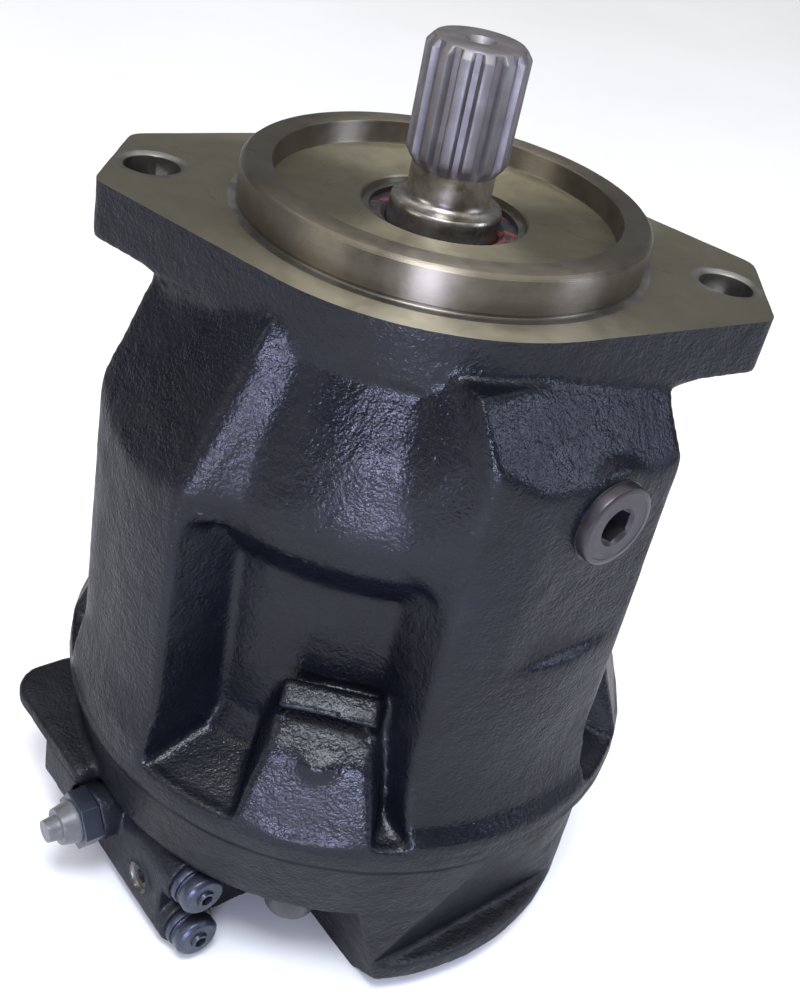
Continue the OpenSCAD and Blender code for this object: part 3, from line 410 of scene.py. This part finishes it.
def as_object(name, solids, material=None, frame_turn=UPRIGHT):
    """One object that holds all the given solids."""
    mesh = bpy.data.meshes.new(name)
    whole = bmesh.new()
    for bm in solids:
        part = bpy.data.meshes.new("part")
        bm.to_mesh(part)
        bm.free()
        whole.from_mesh(part)
        bpy.data.meshes.remove(part)
    whole.transform(frame_turn)
    whole.to_mesh(mesh)
    whole.free()
    obj = bpy.data.objects.new(name, mesh)
    bpy.context.scene.collection.objects.link(obj)
    if material:
        mesh.materials.append(material)
    return obj


def settle(obj):
    """Applies the object's modifiers."""
    bpy.context.view_layer.update()
    done = bpy.data.meshes.new_from_object(obj.evaluated_get(bpy.context.evaluated_depsgraph_get()))
    old = obj.data
    obj.modifiers.clear()
    obj.data = done
    bpy.data.meshes.remove(old)
    done.name = obj.name
    return obj


def combine(obj, other, operation="DIFFERENCE"):
    """Boolean of two closed meshes. The second object is used up."""
    m = obj.modifiers.new("cut", "BOOLEAN")
    m.operation = operation
    m.solver = "MANIFOLD"
    m.object = other
    m.material_mode = "TRANSFER"
    settle(obj)
    bpy.data.objects.remove(other)
    return obj


def coated(obj, material):
    """Gives the whole object one material."""
    obj.data.materials.clear()
    obj.data.materials.append(material)
    return obj


def fused(name, solids, material=None, frame_turn=UPRIGHT):
    """Union of overlapping solids."""
    obj = as_object(name, solids[:1], material, frame_turn)
    for bm in solids[1:]:
        combine(obj, as_object("add", [bm], material, frame_turn), "UNION")
    return obj


def welded_copy(node, name):
    """Copy of a CAD node's mesh with its split vertices joined."""
    bm = bmesh.new()
    bm.from_mesh(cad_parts[node].data)
    bmesh.ops.remove_doubles(bm, verts=bm.verts, dist=CAD_SEAM_GAP)
    mesh = bpy.data.meshes.new(name)
    bm.to_mesh(mesh)
    bm.free()
    mesh.materials.clear()
    obj = bpy.data.objects.new(name, mesh)
    bpy.context.scene.collection.objects.link(obj)
    return obj


def joined(objs):
    """Joins the objects into the first of them."""
    with bpy.context.temp_override(active_object=objs[0], selected_editable_objects=objs):
        bpy.ops.object.join()
    return objs[0]


def smooth_group(obj, name, weight_of):
    """Vertex group whose weights come from a function of all points in mm."""
    co = points_mm(obj)
    weights = np.clip(weight_of(co), 0, 1)
    group = obj.vertex_groups.new(name=name)
    levels = 20
    steps = np.round(weights * levels).astype(int)
    for k in range(1, levels + 1):
        chosen = np.nonzero(steps == k)[0]
        if len(chosen):
            group.add(chosen.tolist(), k / levels, "REPLACE")


def points_mm(obj):
    """The object's points in mm, one row each."""
    co = np.empty(len(obj.data.vertices) * 3)
    obj.data.vertices.foreach_get("co", co)
    return co.reshape(-1, 3) / MM


def local_mm(co):
    """Points in mm turned into the pump body's own frame."""
    return co @ np.array(TURN.to_3x3())


def voxelled(obj, size, steps, extra=None, ripple=0.0):
    """Turns joined solids into one rounded casting skin.

    extra is a weight function and how many more rounds of smoothing it steers.
    """
    m = obj.modifiers.new("skin", "REMESH")
    m.mode = "VOXEL"
    m.voxel_size = size * MM
    settle(obj)
    m = obj.modifiers.new("round", "SMOOTH")
    m.factor = 0.5
    m.iterations = steps
    settle(obj)
    if extra:
        weight_of, more = extra
        smooth_group(obj, "more", weight_of)
        m = obj.modifiers.new("round_more", "SMOOTH")
        m.factor = 0.5
        m.iterations = more
        m.vertex_group = "more"
        settle(obj)
        obj.vertex_groups.clear()
    if ripple:
        clouds = bpy.data.textures.new("ripple", "CLOUDS")
        clouds.noise_scale = 0.011
        clouds.noise_depth = 2
        m = obj.modifiers.new("ripple", "DISPLACE")
        m.texture = clouds
        m.texture_coords = "LOCAL"
        m.strength = ripple * MM
        m.mid_level = 0.5
        settle(obj)
    return obj


def crisp(obj, angle=34):
    """Smooth shading with edges sharper than the angle kept."""
    obj.data.shade_smooth()
    obj.data.set_sharp_from_angle(angle=math.radians(angle))
    return obj


def keep(obj, body, slot, *nodes):
    """Finished piece on its body, in place of the given CAD nodes."""
    crisp(obj)
    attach(obj, body)
    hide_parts(*nodes)
    return obj


def wear_and_sheen_mask(obj, marks):
    """Stores how far each point is lightened toward bare metal: worn paint, and on some convex edges partly a
    painted reflection. A mark is [points of a line in mm in the pump frame, width, amount].
    """
    co = local_mm(points_mm(obj))
    wear_and_sheen = np.zeros(len(co))
    for line, width, amount in marks:
        for a, b in zip(np.array(line[:-1], float), np.array(line[1:], float)):
            d = b - a
            t = np.clip(((co - a) @ d) / (d @ d), 0, 1)
            away = np.linalg.norm(co - a - t[:, None] * d, axis=1)
            wear_and_sheen = np.maximum(wear_and_sheen, amount * np.clip(1 - away / width, 0, 1))
    attribute = obj.data.attributes.new("wear_and_sheen", "FLOAT", "POINT")
    attribute.data.foreach_set("value", wear_and_sheen.astype(np.float32))


# ---- Housing ----

# Voxel size of the casting skins, in mm
VOXEL = 1.35


def arc(cx, cy, r, a0, a1, n):
    """Points of an arc between two angles in degrees."""
    turns = [math.radians(a0 + (a1 - a0) * i / n) for i in range(n + 1)]
    return [(cx + r * math.cos(a), cy + r * math.sin(a)) for a in turns]


def flange_outline(grow=0.0):
    """Outline of the two-ear flange: tangents from the core circle to rounded ear corners."""
    core, corner, cx, cy = 76 + grow, 6 + grow, 96.5, 18.5
    span = math.hypot(cx, cy)
    lean = math.degrees(math.acos((core - corner) / span)) + math.degrees(math.atan2(cy, cx))
    half = arc(0, 0, core, 90, lean, 12) + arc(cx, cy, corner, lean, 0, 8)
    half += [(x, -y) for x, y in half[::-1]]
    return half + [(-x, -y) for x, y in half[1:-1]]


def hollowed(outer, node, hollow):
    """Cuts the node's own bores into its skin: the fillers less the CAD solid."""
    combine(hollow, welded_copy(node, "cad"))
    combine(outer, coated(hollow, CUT_IRON))


def body_spin(degrees):
    return Matrix.Rotation(math.radians(degrees), 4, "Z")


def boss_shave(angle):
    """Cutter for the square shoulder of the casting boss over a port plate bolt."""
    profile = ((77, -132), (92, -143.5), (104, -143.5), (104, -128), (77, -128))
    shave = wedge([(r, y, z) for r, z in profile for y in (-14, 14)])
    return as_object("shave", [shave], frame_turn=TURN @ body_spin(angle))


def boss_slope(angle):
    """Slanted facet and flanks of a casting boss."""
    half = ((77, 16.5, -130.5), (92, 16.5, -143.5), (101.5, 22, -166.5), (101.5, 22, -170),
            (66, 19, -134), (66, 24, -170))
    return moved(wedge([(r, side * y, z) for r, y, z in half for side in (-1, 1)]), body_spin(angle))


def casting_flanks():
    """Slopes that lead from the flange into the bulges, and the lump beside the drain pad."""
    control_ridge = wedge([
        (18, -74, -12), (21.5, -75.5, -12), (33, -62, -12), (18, -58, -12),
        (21.5, -98.6, -63), (18, -98, -63), (31.5, -82, -63), (18, -66, -63),
        (21.5, -96, -72), (29.5, -79, -76), (18, -70, -76)])
    drain_flank = wedge([
        (79, -43, -26), (56, -51, -26), (56, -38, -26), (86, -43, -44), (65, -54, -44), (86, -43, -66),
        (69.5, -55, -66), (60, -40, -80), (80, -42, -80)])
    valley = wedge([
        (60, -47, -17), (74, -38, -17), (84, -43, -36), (62, -53.5, -36), (60, -38, -17), (60, -40, -36)])
    # Radius, angle in degrees and height of the lump's points
    lump = (
        (90, -21, -66), (96, -18, -68), (96.3, -14, -69.5), (96, -10, -70), (90, -8, -70),
        (90, -19, -75), (95.6, -16, -74), (95.6, -11, -75), (90, -9, -76), (90, -14, -63), (95.4, -14, -65))
    beside_drain = wedge([
        (r * math.cos(math.radians(a)), r * math.sin(math.radians(a)), z) for r, a, z in lump])
    return [control_ridge, drain_flank, valley, beside_drain]


def under_flange(co):
    """How strongly the casting is rounded: fully near the flange, less further down, not at the seam."""
    upper = np.clip((co[:, 2] + 84) / 12, 0, 1)
    lower = 0.45 * np.clip((co[:, 2] + 156) / 14, 0, 1)
    return np.clip((-20.5 - co[:, 2]) / 4, 0, 1) * np.maximum(upper, lower)


def housing_casting():
    outer = welded_copy("housing", "housing_casting")
    caps = [
        prism(flange_outline(), -6, 10),
        rod(9.6, -18, -12, (EAR_BOLT_X, 0)), rod(9.6, -18, -12, (-EAR_BOLT_X, 0)),
    ]
    curve = arc(94, -34, 16, 90, 180, 10)
    fillet = as_object("fillet", [turned([(60, -16), (94, -16), *curve, (60, -34)], ring=True)])
    combine(fillet, as_object("within", [prism(flange_outline(-1.5), -40, -17)]), "INTERSECT")
    turned_caps = [turned([(0, -168), (103.6, -168), (103.9, -178), (0, -178)])]
    for side in (0, 180):
        for bm in (facing_x(rod(11, 80, DRAIN_SEAT_X), z=DRAIN_Z), facing_x(rod(17.5, 84, 94.0), z=DRAIN_Z)):
            turned_caps.append(moved(bm, body_spin(side)))
    for a in BOLT_ANGLES:
        combine(outer, boss_shave(a))
    turned_caps += [boss_slope(a) for a in BOLT_ANGLES]
    turned_caps += casting_flanks()
    parts = [outer, as_object("caps", caps), fillet, as_object("turned_caps", turned_caps, frame_turn=TURN)]
    outer = joined(parts)
    voxelled(outer, VOXEL, 5, (under_flange, 26), 0.35)
    coated(outer, PAINT)
    fillers = [
        turned([(0, -182), (66, -182), (66, 2), (0, 2)]),
        side_prism([(50, -182), (88, -182), (88, -71.5), (84, -61.5), (75, -34.5), (50, -34.5)], -16, 16),
        side_prism([(-50, -182), (-88, -182), (-88, -65.5), (-85, -54), (-50, -54)], -16, 16),
        side_prism([(-93.5, -182), (93.5, -182), (93.5, -168), (-93.5, -168)], -21, 21),
        turned([(0, -182), (71, -182), (71, -168), (0, -168)]),
    ]
    fillers += [moved(rod(7, -182, -141, (BOLT_CIRCLE_R, 0)), body_spin(a)) for a in BOLT_ANGLES]
    fillers += [facing_x(rod(11, -110, 110), z=DRAIN_Z)]
    hollow = fused("hollow", fillers, CUT_IRON, TURN)
    for x in (-EAR_BOLT_X, EAR_BOLT_X):
        combine(hollow, as_object("bolt", [rod(11.4, -21, 3, (x, 0))], CUT_IRON), "UNION")
    hollowed(outer, "housing", hollow)
    combine(outer, as_object("above", [slab(0, 60)], FACE))
    combine(outer, as_object("below", [slab(-230, SEAM_Z)], CUT_IRON))
    # Lines of lightened paint. The ridge and the edge are partly worn paint and partly a painted reflection
    # of the light grazing these convex edges; the foot and the boss are worn paint.
    ridge = [(24, -74, -18), (24, -85, -41), (24.5, -92, -58), (22, -96, -66)]
    edge = [(21, -97.5, -68), (21, -98.5, -110)]
    foot = [(22, -95, -66), (27, -86, -72), (36, -80, -75), (56, -66, -75)]
    boss = [(54, -54, -134), (64, -64, -146), (72, -72, -165)]
    wear_and_sheen_mask(outer, [(ridge, 6.0, 0.36), (edge, 1.4, 0.4), (foot, 3.4, 0.42), (boss, 3.0, 0.3)])
    return keep(outer, "pump_casing", "cast_paint", "housing")


def pilot_head():
    """Machined pilot ring with the recess and the seal's seat, turned as one piece."""
    wall = [
        (26, -0.4), (26, 1), (27.4, 1), (27.4, 2.8), (26, 2.8), (26, 4.5), (26.5, 5), (52.9, 5), (53.6, 5.3),
        (54, 6.1), (54, 12.1), (54.15, 12.5), (54.5, 12.7), (61.9, 12.7), (62.15, 12.6), (63.35, 11.55),
        (63.5, 11.3), (63.5, 1.5), (63.1, 1.1), (63.05, 0.5), (63.3, 0.2), (63.3, -0.4),
    ]
    obj = as_object("pilot_ring", [turned(wall, ring=True, steps=288)], PILOT)
    obj.data.materials.append(FLOOR_IRON)
    recess_r, recess_top = 53.7, 5.5
    for p in obj.data.polygons:
        c = p.center / MM
        if math.hypot(c.x, c.y) < recess_r and c.z < recess_top:
            p.material_index = 1
    keep(obj, "pump_casing", "cast_paint", "housing")


# ---- Port plate ----

def port_plate_casting():
    outer = welded_copy("port_plate", "port_plate_casting")
    caps = [
        turned([(0, -178), (103.6, -178), (103.4, -166), (0, -166)]),
        block(-41, 33, -72, -64, -247.5, -207),
    ]
    foot_profile = [(0, -247), (87.5, -247), (86, -251), (86, -257), (0, -257)]
    foot = as_object("foot", [turned(foot_profile)], frame_turn=TURN)
    combine(foot, as_object("cut_back", [block(-120, 120, -120, -38, -260, -240)], frame_turn=TURN))
    outer = joined([outer, as_object("caps", caps, frame_turn=TURN), foot])
    voxelled(outer, VOXEL * 0.92, 6, None, 0.5)
    coated(outer, PLATE_PAINT)
    fillers = [
        rod(24.5, -190, -160), turned([(31, -214), (45, -214), (45, -160), (31, -160)], ring=True),
        *[rod(radius, -260, -205, (x, 0)) for x, radius, *_ in PORTS],
        rod(7.5, -192, -160, (0, -74)), rod(7, -186, -160, (0, 71)),
    ]
    for x, _, long_side, short_side, r in PORTS:
        fillers += [rod(r, -260, -226, (x + i * long_side / 2, j * short_side / 2))
                    for i in (-1, 1) for j in (-1, 1)]
    for a in BOLT_ANGLES:
        for r, top in ((7.4, -160), (9.61, -206.5)):
            fillers.append(moved(rod(r, -260, top, (BOLT_CIRCLE_R, 0)), body_spin(a)))
    fillers += [facing_front(rod(3.6, -2, 20), x, -57, VALVE_BOLT_Z) for x in VALVE_BOLTS_X]
    hollowed(outer, "port_plate", fused("hollow", fillers, CUT_IRON, TURN))
    combine(outer, as_object("above", [slab(SEAM_Z - 0.05, -120)], CUT_IRON))
    combine(outer, as_object("below", [slab(-300, REAR_Z)], FACE))
    wear_and_sheen_mask(outer, [([(60, -60, -213), (62, -58, -215)], 7, 0.6)])
    return keep(outer, "pump_casing", "cast_paint", "port_plate")


# ---- Valve body ----

def valve_body():
    outer = welded_copy("controller_body", "valve_body_casting")
    caps = []
    left, right = VALVE_X
    for z in SPOOL_LEVELS:
        caps += [facing_x(rod(8, -2.5, 6), left, SPOOL_Y, z), facing_x(rod(8, -6, 2.5), right, SPOOL_Y, z)]
    caps += [facing_front(rod(7, -4, 3), SENSING_X, -102.5, SENSING_Z)]
    caps += [facing_front(rod(6, -1, 4), x, -93, VALVE_BOLT_Z) for x in VALVE_BOLTS_X]
    outer = joined([outer, as_object("caps", caps, frame_turn=TURN)])
    voxelled(outer, VOXEL * 0.55, 5, None, 0.25)
    coated(outer, VALVE_PAINT)
    fillers = [facing_x(rod(7.4, -50, 90), 0, SPOOL_Y, z) for z in SPOOL_LEVELS]
    fillers += [facing_front(rod(6.6, -22, 30), SENSING_X, -102.5, SENSING_Z)]
    fillers += [facing_front(rod(5.9, -30, 10), x, -93, VALVE_BOLT_Z) for x in VALVE_BOLTS_X]
    hollowed(outer, "controller_body", fused("hollow", fillers, CUT_IRON, TURN))
    sides = ((-60, left, -100, -70), (right, 60, -100, -70), (-60, 60, -72, -50))
    for bm in [block(*side, -255, -200) for side in sides]:
        combine(outer, as_object("end", [bm], VALVE_PAINT, TURN))
    wear_and_sheen_mask(outer, [([(right, -95, -240), (right, -95, -217)], 2.0, 0.5)])
    return keep(outer, "pump_casing", "cast_paint", "controller_body")


# ---- Drive shaft ----

def spline_radius(place, cap, floor):
    """Radius at a share of one tooth pitch, between the groove floor and the cap."""
    # Share of the pitch from the groove's middle, and share of the tooth's height there
    marks = [
        (0.0, 0), (0.145, 0), (0.165, 0.18), (0.215, 0.5), (0.262, 0.82), (0.29, 0.96), (0.325, 1), (0.5, 1)]
    share = min(place, 1 - place)
    for (a, fa), (b, fb) in zip(marks, marks[1:]):
        if a <= share <= b:
            part = fa + (fb - fa) * (share - a) / (b - a)
            return min(cap, floor + (cap - floor) * part) if cap > floor else cap
    return cap


def shaft_end():
    teeth = 14
    shares = [
        0, 0.145, 0.165, 0.215, 0.262, 0.29, 0.325, 0.42, 0.5, 0.58, 0.675, 0.71, 0.738, 0.785, 0.835, 0.855]
    tip_z, cut_z = 56.0, -9.5
    # Height, radius of the teeth and radius of the grooves, from the tip down
    levels = [
        (tip_z, 13.0, 13.0), (55.75, 13.45, 13.4), (55.4, 13.9, GROOVE_R), (53.6, 15.35, GROOVE_R),
        (53.2, TOOTH_R, GROOVE_R), (40, TOOTH_R, GROOVE_R), (24, TOOTH_R, GROOVE_R),
        (22.4, TOOTH_R, GROOVE_R), (21.8, 15.3, 13.55), (20.2, 14.1, 13.4), (NECK_TOP_Z, 13.15, 13.1),
    ]
    # Height and radius of the round part below the teeth
    neck = [
        (18.4, 13.0), (11.0, 13.0), (9.8, 13.15), (8.8, 13.8), (8.1, 14.9), (7.75, 16.4), (7.6, 16.9),
        (7.1, 17.3), (6.2, 17.5), (cut_z, 17.5),
    ]
    levels += [(z, r, r) for z, r in neck]
    bm = bmesh.new()
    rows = []
    for z, cap, low in levels:
        row = []
        for t in range(teeth):
            for share in shares:
                r = spline_radius(share, cap, low)
                a = 2 * math.pi * (t + share - 0.5) / teeth
                row.append(bm.verts.new((r * MM * math.cos(a), r * MM * math.sin(a), z * MM)))
        rows.append(row)
    n = len(rows[0])
    for upper, lower in zip(rows, rows[1:]):
        for i in range(n):
            bm.faces.new((upper[i], lower[i], lower[(i + 1) % n], upper[(i + 1) % n]))
    # Centre hole in the tip: countersink, bore and its point
    last = rows[0]
    for r, z in ((4.6, tip_z), (2.2, 53.6), (2.2, 42)):
        row = []
        for vert in rows[0]:
            a = math.atan2(vert.co.y, vert.co.x)
            row.append(bm.verts.new((r * MM * math.cos(a), r * MM * math.sin(a), z * MM)))
        for i in range(n):
            bm.faces.new((last[i], last[(i + 1) % n], row[(i + 1) % n], row[i]))
        last = row
    point = bm.verts.new((0, 0, 41 * MM))
    for i in range(n):
        bm.faces.new((last[i], last[(i + 1) % n], point))
    bm.faces.new(rows[-1])
    bmesh.ops.recalc_face_normals(bm, faces=bm.faces)
    obj = as_object("drive_shaft_end", [bm], SPLINE)
    obj.data.materials.append(NECK)
    for p in obj.data.polygons:
        if p.center.z < NECK_TOP_Z * MM:
            p.material_index = 1
    keep(obj, "rotating_group", "spline_steel", "drive_shaft")
    inner = welded_copy("drive_shaft", "drive_shaft_inner")
    combine(inner, as_object("above", [block(-60, 60, -60, 60, cut_z, 80)], NECK))
    coated(inner, NECK)
    keep(inner, "rotating_group", "spline_steel", "drive_shaft")


# ---- Small hardware ----

def drain_plugs():
    rim = [(0, -1), (12.9, -1), (13.2, -0.7), (13.2, 2.6), (12.9, 3.2), (12.3, 3.5), (11.2, 3.5),
           (11.0, 3.35), (9.6, 3.3), (0, 3.3)]
    countersink = [(0, 2.2), (5.4, 2.2), (7.0, 3.8), (0, 3.8)]
    parts = []
    for side in (0, 180):
        head = fused("head", [
            facing_x(turned(rim, steps=96), DRAIN_HEAD_X, 0, DRAIN_Z),
            facing_x(rod(10.2, -12, 2, steps=96), DRAIN_SEAT_X, 0, DRAIN_Z),
        ], PLUG)
        socket = facing_x(hexagon(10, -5, 10), DRAIN_SEAT_X, 0, DRAIN_Z)
        combine(head, as_object("socket", [socket], PLUG))
        chamfer = facing_x(turned(countersink, steps=48), DRAIN_HEAD_X, 0, DRAIN_Z)
        combine(head, as_object("chamfer", [chamfer], PLUG))
        head.data.transform(TURN @ body_spin(side))
        parts.append(head)
    obj = joined(parts)
    obj.name = "drain_plug_heads"
    keep(obj, "pump_casing", "plug_steel", "case_drain_plugs")


housing_casting()
pilot_head()
port_plate_casting()
valve_body()
shaft_end()
drain_plugs()

# CAD nodes that keep their own mesh, by material
CARRIED = {
    PLUG: ["controller_end_plugs"],
    SCREW: ["port_plate_bolts", "controller_bolts"],
    BLUED: ["adjuster_caps", "sensing_port_fitting", "adjusting_screws"],
    CAP: ["sensing_port_cap"],
    SEAL: ["shaft_seal"],
    RUBBER: ["housing_seal_ring", "plug_sealing_rings"],
    SPRING: ["seal_retaining_ring", "block_spring", "bias_spring", "pressure_valve_spring",
             "flow_valve_spring"],
    BEARING: ["front_bearing_cup", "front_bearing_cone", "front_bearing_rollers", "rear_bearing_cup",
              "rear_bearing_cone", "rear_bearing_rollers", "pressure_pins", "valve_plate_pin"],
    IRON: ["swashplate", "cylinder_block"],
    BRONZE: ["cradle_bearings", "valve_plate"] + [f"slipper_{i}" for i in range(1, 10)],
    HARD: [f"piston_{i}" for i in range(1, 10)] + [
        "retaining_plate", "retaining_ball", "block_spring_washers", "control_piston", "control_piston_guide",
        "bias_piston", "bias_piston_guide", "bias_spring_seat", "pressure_spool", "flow_spool"],
}
# Width of the bevel that softens a carried CAD node's edges, in mm
BEVELLED = {"controller_end_plugs": 0.5, "port_plate_bolts": 0.6, "controller_bolts": 0.35,
            "adjuster_caps": 0.35, "sensing_port_fitting": 0.5, "sensing_port_cap": 0.5,
            "adjusting_screws": 0.3}
for material, names in CARRIED.items():
    for name in names:
        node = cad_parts[name]
        for slot in node.material_slots:
            slot.material = material
        if name in BEVELLED:
            weld = node.modifiers.new("weld", "WELD")
            weld.merge_threshold = CAD_SEAM_GAP
            bevel = node.modifiers.new("bevel", "BEVEL")
            bevel.width = BEVELLED[name] * MM
            bevel.segments = 2
            bevel.limit_method = "ANGLE"
            bevel.angle_limit = math.radians(35)
            bevel.harden_normals = True


# ---- Floor, lights and camera ----

def floor():
    """Pale floor just under the object."""
    s = Shade("pale_floor", ior_level=0.2)
    base = s.mix(s.span(s.noise(3, 3, 0.5), 0.3, 0.7), (0.80, 0.80, 0.80), (0.84, 0.84, 0.84))
    mat = s.finish(base, 0.9)
    mesh = bpy.data.meshes.new("floor")
    reach, gap = 8, 0.0002
    z = cad_low.z - gap
    corners = [(-reach, -reach, z), (reach, -reach, z), (reach, reach, z), (-reach, reach, z)]
    mesh.from_pydata(corners, [], [(0, 1, 2, 3)])
    mesh.materials.append(mat)
    obj = bpy.data.objects.new("floor", mesh)
    bpy.context.scene.collection.objects.link(obj)


def softbox(name, azimuth, elevation, distance, width, height, power, colour, aim=(0, 0, -0.08)):
    """Area light aimed at the part. Azimuth 0 is in front of it, and elevation is above the horizon."""
    lamp = bpy.data.lights.new(name, "AREA")
    lamp.shape = "RECTANGLE"
    lamp.size, lamp.size_y = width, height
    lamp.energy = power
    lamp.color = colour
    obj = bpy.data.objects.new(name, lamp)
    a, e = math.radians(azimuth), math.radians(elevation)
    away = Vector((math.sin(a) * math.cos(e), -math.cos(a) * math.cos(e), math.sin(e)))
    obj.location = Vector(aim) + away * distance
    obj.rotation_mode = "QUATERNION"
    obj.rotation_quaternion = away.to_track_quat("Z", "Y")
    bpy.context.scene.collection.objects.link(obj)


def sky():
    world = bpy.data.worlds.new("studio")
    bpy.context.scene.world = world
    world.use_nodes = True
    back = world.node_tree.nodes["Background"]
    back.inputs["Color"].default_value = (0.95, 0.97, 1.0, 1.0)
    back.inputs["Strength"].default_value = 0.2


def camera():
    """Camera of the photograph's view, from its right, up and back directions."""
    cam = bpy.data.cameras.new("camera")
    cam.lens = 46.43
    cam.sensor_width = 36
    cam.clip_start = 0.01
    obj = bpy.data.objects.new("camera", cam)
    right = Vector((0.97979, 0.07819, 0.18418))
    up = Vector((-0.19680, 0.54283, 0.81647))
    back = Vector((-0.03615, -0.83620, 0.54724))
    place = Matrix((right, up, back)).transposed().to_4x4()
    place.translation = Vector((-0.01033, -0.37758, 0.14510))
    obj.matrix_world = place
    bpy.context.scene.collection.objects.link(obj)
    bpy.context.scene.camera = obj


floor()
sky()
softbox("overhead", 0, 88, 4.6, 8.0, 8.0, 330, (1.0, 1.0, 1.0), (0, 0.3, -0.25))
softbox("key_window", -4, 62, 1.2, 0.36, 0.30, 14, (0.84, 0.90, 1.0))
softbox("front_strip", -2, 6, 1.1, 0.26, 0.16, 10, (0.64, 0.68, 1.0))
softbox("left_fill", -60, 22, 1.4, 0.5, 0.4, 3.0, (1.0, 0.95, 0.92))
softbox("right_rim", 80, 23, 1.3, 0.35, 0.45, 6, (0.68, 0.76, 1.0))
camera()

view_settings = bpy.context.scene.view_settings
view_settings.view_transform = "Standard"
